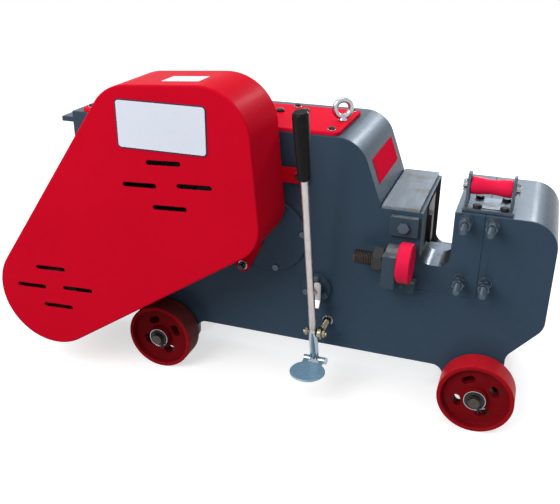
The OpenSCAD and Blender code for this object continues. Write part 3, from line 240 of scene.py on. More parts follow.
class Graph:
    """Writes nodes and links into one node tree."""

    def __init__(self, tree: bpy.types.NodeTree) -> None:
        """Keeps the tree.

        Args:
            tree: The node tree to write in.
        """
        self.tree = tree

    def add(self, kind: str, inputs: dict | None = None, **settings: object) -> bpy.types.Node:
        """Adds one node.

        Args:
            kind: Name of the node type.
            inputs: Socket names or numbers, each with a value or with the socket that feeds it.
            settings: The node's own settings.

        Returns:
            The new node.
        """
        node = self.tree.nodes.new(kind)
        for name, value in settings.items():
            setattr(node, name, value)
        for name, value in (inputs or {}).items():
            if isinstance(value, bpy.types.NodeSocket):
                self.tree.links.new(value, node.inputs[name])
            else:
                node.inputs[name].default_value = value
        return node

    def place(self) -> bpy.types.NodeSocket:
        """Object coordinates, in metres."""
        return self.add("ShaderNodeTexCoord").outputs["Object"]

    def math(self, kind: str, a: object, b: object = 0.0) -> bpy.types.NodeSocket:
        """Result of a Math node of that kind on two values."""
        return self.add("ShaderNodeMath", {0: a, 1: b}, operation=kind).outputs[0]

    def noise(self, place: object, scale: object, detail: float, rough: float = 0.5
              ) -> bpy.types.NodeSocket:
        """Value of a noise of that scale, in waves to the metre."""
        inputs = {"Vector": place, "Scale": scale, "Detail": detail, "Roughness": rough}
        return self.add("ShaderNodeTexNoise", inputs).outputs["Fac"]

    def remap(self, value: object, lo: object, hi: object, to_lo: object = 0.0, to_hi: object = 1.0
              ) -> bpy.types.NodeSocket:
        """Value taken from one range to another and held inside it."""
        inputs = {"Value": value, "From Min": lo, "From Max": hi, "To Min": to_lo, "To Max": to_hi}
        return self.add("ShaderNodeMapRange", inputs, clamp=True).outputs["Result"]

    def mix(self, share: object, a: object, b: object) -> bpy.types.NodeSocket:
        """Colour between two colours."""
        return self.add("ShaderNodeMix", {0: share, 6: a, 7: b}, data_type="RGBA").outputs[2]

    def blend(self, share: object, a: object, b: object) -> bpy.types.NodeSocket:
        """Number between two numbers."""
        return self.add("ShaderNodeMix", {0: share, 2: a, 3: b}, data_type="FLOAT").outputs[0]

    def bump(self, height: object, depth: float, normal: object) -> bpy.types.NodeSocket:
        """Normal that a height of that depth, in metres, gives."""
        inputs = {"Height": height, "Distance": depth, "Strength": 1.0, "Normal": normal}
        return self.add("ShaderNodeBump", inputs).outputs["Normal"]

    def use(self, group: bpy.types.NodeTree, inputs: dict) -> bpy.types.Node:
        """Places a shared effect with its own values."""
        return self.add("ShaderNodeGroup", inputs, node_tree=group)


FLOAT = "NodeSocketFloat"
COLOR = "NodeSocketColor"
VECTOR = "NodeSocketVector"
DUST: Color = (0.40, 0.41, 0.42)


def rgba(color: Color) -> tuple[float, float, float, float]:
    """A colour with full alpha."""
    return (*color, 1.0)


class Effects:
    """Shader node groups that several finishes share, each built once."""

    cloud_scale: float = 5.0
    fleck_scale: float = 70.0
    patch_scale: float = 22.0

    def __init__(self) -> None:
        """Builds the groups."""
        self.skin = self._group("paint_skin", {"Color": COLOR, "Cloud": FLOAT, "Dust": FLOAT, "Gloss": FLOAT,
                                               "Ripple": FLOAT},
                                {"Color": COLOR, "Roughness": FLOAT, "Height": FLOAT}, self._paint_skin)
        self.edges = self._group("edge_wear_and_highlight", {"Width": FLOAT, "Amount": FLOAT, "Scale": FLOAT},
                                 {"Mask": FLOAT, "Normal": VECTOR}, self._edge_wear_and_highlight)
        self.grain = self._group("cast_grain", {"Scale": FLOAT}, {"Height": FLOAT, "Tone": FLOAT},
                                 self._cast_grain)
        self.brush = self._group("brushed_grain", {"Stretch": VECTOR, "Scale": FLOAT},
                                 {"Tone": FLOAT, "Height": FLOAT}, self._brushed_grain)
        self.stain = self._group("stain", {"Scale": FLOAT, "Amount": FLOAT}, {"Mask": FLOAT}, self._stain)

    def _group(self, name: str, inputs: dict[str, str], outputs: dict[str, str],
               write: Callable[[Graph, object], dict[str, object]]) -> bpy.types.NodeTree:
        """Makes one group and its sockets.

        Args:
            name: The group's name.
            inputs: Input names and socket types.
            outputs: Output names and socket types.
            write: Writes the nodes and returns what feeds each output.

        Returns:
            The group's tree.
        """
        tree = bpy.data.node_groups.new(name, "ShaderNodeTree")
        for socket, kind in inputs.items():
            tree.interface.new_socket(socket, in_out="INPUT", socket_type=kind)
        for socket, kind in outputs.items():
            tree.interface.new_socket(socket, in_out="OUTPUT", socket_type=kind)
        graph = Graph(tree)
        given = graph.add("NodeGroupInput").outputs
        graph.add("NodeGroupOutput", write(graph, given))
        return tree

    def _paint_skin(self, g: Graph, given: object) -> dict[str, object]:
        """Sprayed paint: slow clouds of tone, dust on upward faces and a fine ripple.

        Args:
            g: The group's graph.
            given: The group's inputs.

        Returns:
            What feeds each output.
        """
        place = g.place()
        cloud = g.remap(g.noise(place, self.cloud_scale, 3.0), 0.3, 0.7, -1.0, 1.0)
        fleck = g.remap(g.noise(place, self.fleck_scale, 5.0), 0.3, 0.7, -0.5, 0.5)
        value = g.math("ADD", g.math("MULTIPLY", g.math("ADD", cloud, fleck), given["Cloud"]), 1.0)
        tinted = g.add("ShaderNodeHueSaturation", {"Color": given["Color"], "Value": value}).outputs["Color"]
        facing = g.add("ShaderNodeNewGeometry").outputs["Normal"]
        up = g.add("ShaderNodeSeparateXYZ", {0: facing}).outputs["Z"]
        patch = g.remap(g.noise(place, self.patch_scale, 6.0, 0.65), 0.38, 0.68, 0.15, 1.0)
        dust = g.math("MULTIPLY", g.math("MULTIPLY", g.remap(up, 0.3, 0.95), patch), given["Dust"])
        gloss = g.math("ADD", given["Gloss"], g.math("MULTIPLY", dust, 0.3))
        total = g.math("ADD", gloss, g.math("MULTIPLY", fleck, 0.07))
        return {"Color": g.mix(dust, tinted, rgba(DUST)), "Roughness": total,
                "Height": g.noise(place, given["Ripple"], 1.0)}

    def _edge_wear_and_highlight(self, g: Graph, given: object) -> dict[str, object]:
        """Rounded edges and a chipped mask along them; the mask colours chipped paint, and on pale-edged
        finishes also a painted highlight.

        Args:
            g: The group's graph.
            given: The group's inputs.

        Returns:
            What feeds each output.
        """
        smooth = g.add("ShaderNodeBevel", {"Radius": given["Width"]}, samples=6).outputs["Normal"]
        flat = g.add("ShaderNodeNewGeometry").outputs["Normal"]
        same = g.add("ShaderNodeVectorMath", {0: smooth, 1: flat}, operation="DOT_PRODUCT").outputs["Value"]
        edge = g.remap(same, 0.975, 0.8)
        chips = g.remap(g.noise(g.place(), given["Scale"], 5.0, 0.7), 0.46, 0.62)
        mask = g.math("MULTIPLY", g.math("MULTIPLY", edge, chips), given["Amount"])
        return {"Mask": mask, "Normal": smooth}

    def _cast_grain(self, g: Graph, given: object) -> dict[str, object]:
        """Sand-cast skin: lumps, grain and pits.

        Args:
            g: The group's graph.
            given: The group's inputs.

        Returns:
            What feeds each output.
        """
        place = g.place()
        lumps = g.noise(place, given["Scale"], 3.0)
        grain = g.noise(place, g.math("MULTIPLY", given["Scale"], 5.0), 3.0, 0.6)
        pit_scale = g.math("MULTIPLY", given["Scale"], 2.2)
        pits = g.add("ShaderNodeTexVoronoi", {"Vector": place, "Scale": pit_scale})
        hollow = g.remap(pits.outputs["Distance"], 0.05, 0.3)
        height = g.math("ADD", g.math("MULTIPLY", lumps, 0.6), g.math("MULTIPLY", grain, 0.3))
        return {"Height": g.math("MULTIPLY", height, hollow), "Tone": g.remap(grain, 0.3, 0.7)}

    def _brushed_grain(self, g: Graph, given: object) -> dict[str, object]:
        """Drawn-out lines of a ground, rolled or turned face.

        Args:
            g: The group's graph.
            given: The group's inputs.

        Returns:
            What feeds each output.
        """
        place = g.add("ShaderNodeVectorMath", {0: g.place(), 1: given["Stretch"]}, operation="MULTIPLY")
        lines = g.noise(place.outputs[0], given["Scale"], 4.0, 0.6)
        return {"Tone": g.remap(lines, 0.3, 0.7), "Height": lines}

    def _stain(self, g: Graph, given: object) -> dict[str, object]:
        """Patches of rust, oil or rubbed dirt.

        Args:
            g: The group's graph.
            given: The group's inputs.

        Returns:
            What feeds each output.
        """
        cloud = g.noise(g.place(), given["Scale"], 7.0, 0.68)
        start = g.math("SUBTRACT", 0.75, g.math("MULTIPLY", given["Amount"], 0.4))
        return {"Mask": g.remap(cloud, start, g.math("ADD", start, 0.16))}


class Finish:
    """Base of the finishes: each is a material with a Principled shader."""

    def shade(self, g: Graph, effects: Effects) -> dict[str, object]:
        """What feeds each socket of the shader, which every finish works out for itself."""
        raise NotImplementedError

    def material(self, name: str, effects: Effects) -> bpy.types.Material:
        """Builds the material.

        Args:
            name: The material's name.
            effects: The shared node groups.

        Returns:
            The material.
        """
        material = bpy.data.materials.new(f"{name}_finish")
        material.use_nodes = True
        material.node_tree.nodes.clear()
        graph = Graph(material.node_tree)
        shader = graph.add("ShaderNodeBsdfPrincipled", self.shade(graph, effects))
        graph.add("ShaderNodeOutputMaterial", {"Surface": shader.outputs["BSDF"]})
        return material


@dataclass(frozen=True)
class Enamel(Finish):
    """Paint sprayed on steel or on a casting, chipped along its edges, where a pale edge colour also paints a
    highlight.
    """

    color: Color
    gloss: float = 0.4
    specular: float = 0.2
    sheen: Color = WHITE
    cloud: float = 0.05
    dust: float = 0.12
    wear: float = 0.3
    edge_color: Color = (0.16, 0.16, 0.17)
    ripple_depth: float = 0.012 * MM
    ripple_scale: float = 300.0
    chip_scale: float = 90.0
    cast_depth: float = 0.0
    cast_scale: float = 160.0
    cast_shade: float = 0.55
    grime: float = 0.0
    grime_and_shade_color: Color = (0.03, 0.025, 0.02)
    grime_scale: float = 26.0
    shade_from: float | None = None
    shade_run: float = 20.0 * MM
    edge: float = 1.6 * MM

    def shade(self, g: Graph, effects: Effects) -> dict[str, object]:
        """Writes the paint, its cast skin, its grime, its chipped edges (pale enough on some finishes to be a
        painted highlight) and, where asked, a painted shade darker towards the back.

        Args:
            g: The material's graph.
            effects: The shared node groups.

        Returns:
            What feeds each socket of the shader.
        """
        skin = g.use(effects.skin, {"Color": rgba(self.color), "Cloud": self.cloud, "Dust": self.dust,
                                    "Gloss": self.gloss, "Ripple": self.ripple_scale}).outputs
        edge_inputs = {"Width": self.edge, "Amount": self.wear, "Scale": self.chip_scale}
        edge = g.use(effects.edges, edge_inputs).outputs
        color = skin["Color"]
        normal = g.bump(skin["Height"], self.ripple_depth, edge["Normal"])
        if self.cast_depth:
            grain = g.use(effects.grain, {"Scale": self.cast_scale}).outputs
            normal = g.bump(grain["Height"], self.cast_depth, normal)
            darker = tuple(self.cast_shade * c for c in self.color)
            color = g.mix(g.remap(grain["Tone"], 0.0, 1.0, 0.45, 0.0), color, rgba(darker))
        if self.grime:
            dirt = g.use(effects.stain, {"Scale": self.grime_scale, "Amount": self.grime}).outputs["Mask"]
            color = g.mix(g.math("MULTIPLY", dirt, 0.65), color, rgba(self.grime_and_shade_color))
        # Chipped edges take the edge colour; where it is pale, as on the body and bracket, it is also a
        # painted highlight.
        color = g.mix(edge["Mask"], color, rgba(self.edge_color))
        # Painted shade: beyond a depth along Y the colour runs dark towards the grime colour, standing in for
        # the shade at the throat's back.
        if self.shade_from is not None:
            deep = g.add("ShaderNodeSeparateXYZ", {0: g.place()}).outputs["Y"]
            painted_shade = g.remap(deep, self.shade_from, self.shade_from + self.shade_run, 0.0, 0.92)
            color = g.mix(painted_shade, color, rgba(self.grime_and_shade_color))
        return {"Base Color": color, "Roughness": skin["Roughness"], "Normal": normal,
                "Metallic": g.math("MULTIPLY", edge["Mask"], 0.7),
                "Specular IOR Level": self.specular, "Specular Tint": rgba(self.sheen)}


@dataclass(frozen=True)
class Steel(Finish):
    """Bare, plated or blackened metal with a worked grain and stains."""

    color: Color
    rough: float = 0.35
    stretch: Color = (1.0, 1.0, 1.0)
    scale: float = 160.0
    tone: float = 0.3
    depth: float = 0.03 * MM
    stain: float = 0.3
    stain_color: Color = (0.10, 0.065, 0.04)
    stain_scale: float = 30.0
    metallic: float = 1.0
    edge: float = 0.8 * MM
    bright_edge: float = 0.25
    chip_scale: float = 140.0

    def shade(self, g: Graph, effects: Effects) -> dict[str, object]:
        """Writes the grain, the stains and the bright edges.

        Args:
            g: The material's graph.
            effects: The shared node groups.

        Returns:
            What feeds each socket of the shader.
        """
        lines = g.use(effects.brush, {"Stretch": self.stretch, "Scale": self.scale}).outputs
        edge_inputs = {"Width": self.edge, "Amount": self.bright_edge, "Scale": self.chip_scale}
        edge = g.use(effects.edges, edge_inputs).outputs
        mark = g.use(effects.stain, {"Scale": self.stain_scale, "Amount": self.stain}).outputs["Mask"]
        darker = tuple((1.0 - self.tone) * c for c in self.color)
        lighter = tuple(min(1.0, 1.5 * c) for c in self.color)
        color = g.mix(lines["Tone"], rgba(darker), rgba(self.color))
        color = g.mix(g.math("MULTIPLY", mark, 0.75), color, rgba(self.stain_color))
        color = g.mix(edge["Mask"], color, rgba(lighter))
        rough = g.remap(lines["Tone"], 0.0, 1.0, self.rough * 0.8, self.rough * 1.2)
        rough = g.blend(mark, rough, min(0.9, self.rough + 0.3))
        return {"Base Color": color, "Roughness": rough, "Metallic": self.metallic,
                "Normal": g.bump(lines["Height"], self.depth, edge["Normal"])}


@dataclass(frozen=True)
class Rubber(Finish):
    """Moulded rubber or plastic with a fine matt grain."""

    color: Color
    rough: float = 0.6
    depth: float = 0.06 * MM
    specular: float = 0.2
    grain_scale: float = 900.0
    rub: float = 0.45
    rub_scale: float = 45.0
    edge: float = 0.8 * MM
    wear: float = 0.3
    chip_scale: float = 120.0

    def shade(self, g: Graph, effects: Effects) -> dict[str, object]:
        """Writes the grain and the paler rubbed places.

        Args:
            g: The material's graph.
            effects: The shared node groups.

        Returns:
            What feeds each socket of the shader.
        """
        grain = g.use(effects.grain, {"Scale": self.grain_scale}).outputs
        rub = g.use(effects.stain, {"Scale": self.rub_scale, "Amount": self.rub}).outputs["Mask"]
        paler = tuple(min(1.0, 1.8 * c + 0.008) for c in self.color)
        edge_inputs = {"Width": self.edge, "Amount": self.wear, "Scale": self.chip_scale}
        edge = g.use(effects.edges, edge_inputs).outputs
        color = g.mix(g.math("MULTIPLY", rub, 0.6), rgba(self.color), rgba(paler))
        return {"Base Color": g.mix(edge["Mask"], color, rgba(paler)),
                "Roughness": g.remap(grain["Tone"], 0.0, 1.0, self.rough - 0.08, self.rough + 0.1),
                "Specular IOR Level": self.specular,
                "Normal": g.bump(grain["Height"], self.depth, edge["Normal"])}


RUST: Color = (0.09, 0.045, 0.02)
SLATE: Color = (0.041, 0.071, 0.109)
# Pale blue-grey on the body's chipped edges: partly wear, partly a painted highlight.
PALE_SLATE: Color = (0.26, 0.32, 0.39)
DEEP_RED: Color = (0.655, 0.0042, 0.021)
BRIGHT_RED: Color = (0.84, 0.014, 0.068)
WHEEL_RED: Color = (0.68, 0.0105, 0.023)
SKY: Color = (0.60, 0.80, 1.0)
ROSE: Color = (1.0, 0.42, 0.55)
FINISHES: dict[Coat, Finish] = {
    # Body paint: its pale chips along the edges are partly wear, partly a painted highlight.
    Slot.BODY: Enamel(SLATE, gloss=0.3, specular=0.11, sheen=SKY, cloud=0.06, wear=0.4, edge_color=PALE_SLATE,
                      dust=0.06, edge=2.2 * MM),
    Slot.MOTOR: Enamel(SLATE, gloss=0.4, sheen=SKY, cloud=0.06, cast_depth=0.12 * MM, dust=0.2),
    Slot.GUARD: Enamel(DEEP_RED, gloss=0.3, specular=0.005, sheen=ROSE, cloud=0.03, wear=0.1, dust=0.0,
                       edge_color=(0.42, 0.02, 0.04), edge=1.4 * MM),
    Slot.BRIGHT: Enamel(BRIGHT_RED, gloss=0.36, specular=0.07, sheen=ROSE, cloud=0.03, wear=0.25, dust=0.0,
                        edge_color=(0.45, 0.04, 0.06)),
    Slot.WHEEL: Enamel(WHEEL_RED, gloss=0.42, specular=0.05, cloud=0.14, cast_depth=0.3 * MM, wear=0.5,
                       edge_color=(0.30, 0.05, 0.05), grime=0.3, dust=0.03),
    Slot.WORN: Steel((0.19, 0.235, 0.28), rough=0.45, stretch=(1.0, 0.1, 1.0), scale=110.0, tone=0.5,
                     stain=0.6, stain_color=(0.20, 0.175, 0.14), stain_scale=16.0, metallic=0.55,
                     bright_edge=0.9),
    Slot.BARE: Steel((0.36, 0.37, 0.38), rough=0.3, scale=220.0, stain=0.25,
                     stain_color=(0.2, 0.17, 0.13)),
    Slot.DARK: Steel((0.042, 0.041, 0.043), rough=0.45, scale=240.0, stain=0.35,
                     stain_color=(0.05, 0.038, 0.028), bright_edge=0.6),
    Slot.ZINC: Steel((0.50, 0.52, 0.55), rough=0.24, scale=120.0, tone=0.2, stain=0.2,
                     stain_color=(0.3, 0.29, 0.28)),
    Slot.YELLOW: Steel((0.31, 0.28, 0.195), rough=0.3, scale=150.0, tone=0.35, stain=0.4,
                       stain_color=(0.16, 0.14, 0.11)),
    Slot.LEVER: Steel((0.50, 0.475, 0.47), rough=0.36, stretch=(1.0, 1.0, 0.1), scale=220.0, tone=0.25,
                      stain=0.2, stain_color=(0.22, 0.20, 0.18)),
    Slot.GRIP: Rubber((0.005, 0.005, 0.0055), rough=0.36, specular=0.09),
    Slot.BELT: Rubber((0.012, 0.012, 0.013), rough=0.7),
    Slot.BLACK: Steel((0.04, 0.04, 0.041), rough=0.35, scale=300.0, metallic=0.6, stain=0.1,
                      bright_edge=0.5),
    Slot.IRON: Steel((0.10, 0.10, 0.10), rough=0.45, scale=200.0, stain=0.35, stain_color=RUST),
    Slot.FAN: Rubber((0.012, 0.012, 0.012), rough=0.5, depth=0.02 * MM),
    # Web and rim: darker copies of the wheel's red, a painted shade on faces away from the light; their grime
    # is dirt.
    Look.WEB: Enamel((0.22, 0.005, 0.009), gloss=0.5, specular=0.04, cloud=0.18, cast_depth=0.4 * MM,
                     wear=0.5, edge_color=(0.10, 0.03, 0.025), grime=0.45, dust=0.0),
    Look.RIM: Enamel((0.38, 0.0065, 0.013), gloss=0.5, specular=0.04, cloud=0.16, cast_depth=0.3 * MM,
                     wear=0.5, edge_color=(0.22, 0.04, 0.04), grime=0.35, dust=0.0),
    Look.RUSTY: Enamel((0.18, 0.040, 0.037), gloss=0.55, specular=0.05, cloud=0.3, cast_depth=0.4 * MM,
                       wear=0.6, edge_color=(0.16, 0.11, 0.085), grime=0.6, grime_and_shade_color=(0.07, 0.042, 0.03),
                       dust=0.0),
    Look.OILY: Steel((0.10, 0.095, 0.09), rough=0.35, scale=160.0, tone=0.4, stain=0.5, stain_color=RUST),
    Look.MILLED: Steel((0.14, 0.165, 0.205), rough=0.34, stretch=(1.0, 0.2, 1.0), scale=260.0, tone=0.6,
                       stain=0.45, stain_color=(0.07, 0.07, 0.08), stain_scale=40.0, metallic=0.8),
    Look.STAND: Steel((0.082, 0.106, 0.138), rough=0.48, scale=200.0, tone=0.3, stain=0.4,
                      stain_color=(0.07, 0.065, 0.06), metallic=0.8, bright_edge=0.9),
    Look.STUD: Steel((0.062, 0.093, 0.130), rough=0.36, scale=240.0, tone=0.3, stain=0.25,
                     stain_color=(0.04, 0.055, 0.07), metallic=0.4, bright_edge=1.0),
    Look.CHROME: Steel((0.40, 0.45, 0.50), rough=0.16, scale=120.0, tone=0.2, stain=0.15,
                       stain_color=(0.18, 0.18, 0.17), stretch=(1.0, 1.0, 0.1)),
    Look.PEDAL: Steel((0.24, 0.42, 0.58), rough=0.26, scale=60.0, tone=0.1, stain=0.1, depth=0.004 * MM,
                      stain_color=(0.17, 0.28, 0.37), metallic=0.15, bright_edge=1.0),
    # Throat walls: the grime is dirt, and the darkening from a depth along Y backwards is a painted shade.
    Look.THROAT: Enamel((0.24, 0.28, 0.295), gloss=0.75, specular=0.0, cloud=0.2, wear=0.5, dust=0.3,
                        edge_color=(0.30, 0.31, 0.32), grime=0.5, shade_from=-25.0 * MM),
    # Bracket paint: its pale chipped edges are partly wear, partly a painted highlight.
    Look.BRACKET: Enamel((0.047, 0.073, 0.098), gloss=0.5, specular=0.1, sheen=SKY, cloud=0.1, wear=0.7,
                         edge_color=(0.34, 0.37, 0.39), dust=0.75),
    Look.COVER: Enamel((0.78, 0.0085, 0.035), gloss=0.4, specular=0.004, sheen=ROSE, cloud=0.03, wear=0.25,
                       dust=0.0, edge_color=(0.45, 0.04, 0.06)),
    Look.TAG: Enamel((0.93, 0.012, 0.05), gloss=0.6, specular=0.0, cloud=0.02, wear=0.1, dust=0.0),
    Look.AXLE: Steel((0.085, 0.07, 0.06), rough=0.5, scale=260.0, tone=0.4, stain=0.5,
                     stain_color=(0.06, 0.035, 0.022), metallic=0.8, bright_edge=0.7),
    Look.SIGN: Enamel((0.78, 0.83, 0.93), gloss=0.3, cloud=0.015, wear=0.1, dust=0.0,
                      edge_color=(0.5, 0.5, 0.52), edge=0.5 * MM),
    Look.BORDER: Enamel((0.035, 0.02, 0.06), gloss=0.35, cloud=0.03, wear=0.1, dust=0.0, edge=0.5 * MM),
}


def turned(profile: Sequence[Point], steps: int, ring: bool = False) -> Mesh:
    """A turned solid about Z.

    Args:
        profile: Radius and height of each point, from axis to axis or round a closed section.
        steps: Steps round the axis.
        ring: True for a closed section that doesn't reach the axis.

    Returns:
        The solid.
    """
    bm = bmesh.new()
    verts = [bm.verts.new((r, 0.0, z)) for r, z in profile]
    ends = verts[1:] + verts[:1] if ring else verts[1:]
    edges = [bm.edges.new(pair) for pair in zip(verts, ends)]
    bmesh.ops.spin(bm, geom=verts + edges, cent=(0, 0, 0), axis=(0, 0, 1), angle=math.tau, steps=steps,
                   use_merge=True)
    bmesh.ops.remove_doubles(bm, verts=bm.verts, dist=MERGE)
    bmesh.ops.recalc_face_normals(bm, faces=bm.faces)
    return bm


def round_edges(bm: Mesh, radius: float, segments: int = 2, angle: float = 28.0, shortest: float = 0.0,
                skip: Iterable = ()) -> Mesh:
    """Rounds the sharp edges of a mesh.

    Args:
        bm: The mesh.
        radius: Width of the rounding.
        segments: Steps across it.
        angle: Least angle of a sharp edge, in degrees.
        shortest: Edges shorter than this stay sharp.
        skip: Edges that stay sharp in any case.

    Returns:
        The same mesh.
    """
    limit = math.radians(angle)
    sharp = [e for e in bm.edges if len(e.link_faces) == 2 and e.calc_length() >= shortest
             and e.calc_face_angle() > limit and e not in skip]
    bmesh.ops.bevel(bm, geom=sharp, offset=radius, offset_type="OFFSET", segments=segments, profile=0.5,
                    affect="EDGES", clamp_overlap=shortest == 0.0, material=-1)
    return bm


def thicken(bm: Mesh, depth: float) -> Mesh:
    """Gives flat faces on z = 0 a thickness.

    Args:
        bm: The mesh.
        depth: The thickness, along +Z.

    Returns:
        The same mesh.
    """
    out = bmesh.ops.extrude_face_region(bm, geom=bm.faces[:])["geom"]
    moved = [v for v in out if isinstance(v, bmesh.types.BMVert)]
    bmesh.ops.translate(bm, vec=(0, 0, depth), verts=moved)
    bmesh.ops.recalc_face_normals(bm, faces=bm.faces)
    return bm


def plate(corners: Sequence[Point], depth: float, corner_r: float = 0.0) -> Mesh:
    """A flat plate on z = 0, with its outline in the XY plane.

    Args:
        corners: Its corners, counter-clockwise.
        depth: Its thickness.
        corner_r: Radius of its corners.

    Returns:
        The plate.
    """
    bm = bmesh.new()
    verts = [bm.verts.new((x, y, 0.0)) for x, y in corners]
    bm.faces.new(verts)
    if corner_r:
        bmesh.ops.bevel(bm, geom=verts, offset=corner_r, offset_type="OFFSET", segments=CORNER_STEPS,
                        profile=0.5, affect="VERTICES", clamp_overlap=True, material=-1)
    return thicken(bm, depth)


def rectangle(width: float, height: float) -> list[Point]:
    """Corners of a rectangle about the origin."""
    x, y = width / 2, height / 2
    return [(-x, -y), (x, -y), (x, y), (-x, y)]


def grow(bm: Mesh, edges: list, move: Callable[[Vector], Vector]) -> list:
    """Extrudes a ring of edges and moves the new ring.

    Args:
        bm: The mesh.
        edges: The ring's edges.
        move: New place of each point of the ring.

    Returns:
        The new ring's edges.
    """
    out = bmesh.ops.extrude_edge_only(bm, edges=edges)["geom"]
    for v in out:
        if isinstance(v, bmesh.types.BMVert):
            v.co = move(v.co)
    return [e for e in out if isinstance(e, bmesh.types.BMEdge) and e.is_boundary]


def hexagon(reach: float, height: float, bore: float = 0.0) -> Mesh:
    """A hexagon nut or bolt head on z = 0, its corners turned off at both ends.

    Args:
        reach: Radius over its corners.
        height: Its height.
        bore: Radius of its hole, or 0 for a bolt head.

    Returns:
        The nut or head.
    """
    bm = bmesh.new()
    bmesh.ops.create_circle(bm, segments=6, radius=reach)
    bmesh.ops.subdivide_edges(bm, edges=bm.edges[:], cuts=5)
    flat = reach * math.cos(math.radians(30.0))
    slope = math.tan(math.radians(28.0))
    crown = 0.95 * flat
    lead = 0.08 * reach

    def ring(radius: float, z: float) -> Callable[[Vector], Vector]:
        """Moves a point out or in to a circle at a height."""
        return lambda p: Vector((p.x, p.y, 0.0)).normalized() * radius + Vector((0.0, 0.0, z))

    for v in bm.verts:
        v.co.z = max(0.0, v.co.length - flat) * slope
    low = bm.edges[:]
    side = grow(bm, low, lambda p: Vector((p.x, p.y, height - p.z)))
    top = grow(bm, side, ring(crown, height))
    if bore:
        top = grow(bm, top, ring(bore + lead, height))
        top = grow(bm, top, ring(bore, height - lead))
        top = grow(bm, top, ring(bore, lead))
        top = grow(bm, top, ring(bore + lead, 0.0))
        top = grow(bm, top, ring(crown, 0.0))
        bmesh.ops.bridge_loops(bm, edges=top + low)
    else:
        bmesh.ops.edgeloop_fill(bm, edges=top)
        bmesh.ops.edgeloop_fill(bm, edges=low)
    bmesh.ops.recalc_face_normals(bm, faces=bm.faces)
    return bm


def threaded(radius: float, pitch: float, length: float, steps: int = 18) -> Mesh:
    """A threaded rod from z = 0 up, with a chamfered tip.

    Args:
        radius: Radius over the thread.
        pitch: Rise of one turn.
        length: Length of the rod.
        steps: Steps round one turn.

    Returns:
        The rod.
    """
    bm = bmesh.new()
    root = radius - THREAD_DEPTH * pitch
    turns = math.ceil(length / pitch) + 3
    section = [(radius, 0.0), (radius, 0.14), (root, 0.5), (root, 0.64), (radius, 1.0)]
    verts = [bm.verts.new((r, 0.0, (share - 2.0) * pitch)) for r, share in section]
    edges = [bm.edges.new(pair) for pair in zip(verts, verts[1:])]
    bmesh.ops.spin(bm, geom=verts + edges, cent=(0, 0, 0), axis=(0, 0, 1), dvec=(0, 0, pitch / steps),
                   angle=math.tau * turns, steps=steps * turns)
    bmesh.ops.remove_doubles(bm, verts=bm.verts, dist=MERGE)
    for height, way in ((0.0, -1.0), (length, 1.0)):
        bmesh.ops.bisect_plane(bm, geom=bm.verts[:] + bm.edges[:] + bm.faces[:], dist=MERGE,
                               plane_co=(0, 0, height), plane_no=(0, 0, way), clear_outer=True)
        rim = [e for e in bm.edges if e.is_boundary and all(abs(v.co.z - height) < MERGE for v in e.verts)]
        bmesh.ops.contextual_create(bm, geom=rim)
    for v in bm.verts:
        reach = v.co.xy.length
        limit = root - 0.3 * pitch + (length - v.co.z)
        if reach > limit:
            v.co.xy *= limit / reach
    bmesh.ops.recalc_face_normals(bm, faces=bm.faces)
    return bm


def wire(points: Sequence[Sequence[float]], radius: float) -> Mesh:
    """A bent wire through points.

    Args:
        points: The points along its middle.
        radius: Its radius.

    Returns:
        The wire.
    """
    curve = bpy.data.curves.new("wire", "CURVE")
    curve.dimensions = "3D"
    curve.bevel_depth = radius
    curve.bevel_resolution = 2
    curve.use_fill_caps = True
    spline = curve.splines.new("POLY")
    spline.points.add(len(points) - 1)
    for point, place in zip(spline.points, points):
        point.co = (*place, 1.0)
    holder = bpy.data.objects.new("wire", curve)
    mesh = bpy.data.meshes.new_from_object(holder)
    bm = bmesh.new()
    bm.from_mesh(mesh)
    bmesh.ops.remove_doubles(bm, verts=bm.verts, dist=MERGE)
    bmesh.ops.recalc_face_normals(bm, faces=bm.faces)
    bpy.data.objects.remove(holder)
    bpy.data.curves.remove(curve)
    bpy.data.meshes.remove(mesh)
    return bm


def split_pin(length: float, radius: float, eye: float) -> Mesh:
    """A split pin along Z: an eye on top, two legs, and the ends bent apart.

    Args:
        length: Its whole height.
        radius: Radius of its wire.
        eye: Radius of the eye's middle line.

    Returns:
        The pin.
    """
    top = length - eye - radius
    turn = [math.radians(d) for d in range(-60, 241, 30)]
    loop = [(eye * math.cos(a), 0.0, top + eye * math.sin(a)) for a in turn]
    gap = 0.75 * radius
    bend = 0.22 * length
    right = [(2.6 * radius, 0.0, radius), (gap, 0.0, bend), (gap, 0.0, top - 1.6 * eye)]
    left = [(-x, y, z) for x, y, z in reversed(right)]
    return wire(right + loop + left, radius)


def solid_rod(radius: float, length: float, steps: int = 24) -> Mesh:
    """A plain round rod from z = 0 up."""
    return turned([(0, 0), (radius, 0), (radius, length), (0, length)], steps)


def flat_ring(bore: float, radius: float, height: float, steps: int = 40) -> Mesh:
    """A plain ring or washer on z = 0."""
    return turned([(bore, 0), (radius, 0), (radius, height), (bore, height)], steps, True)


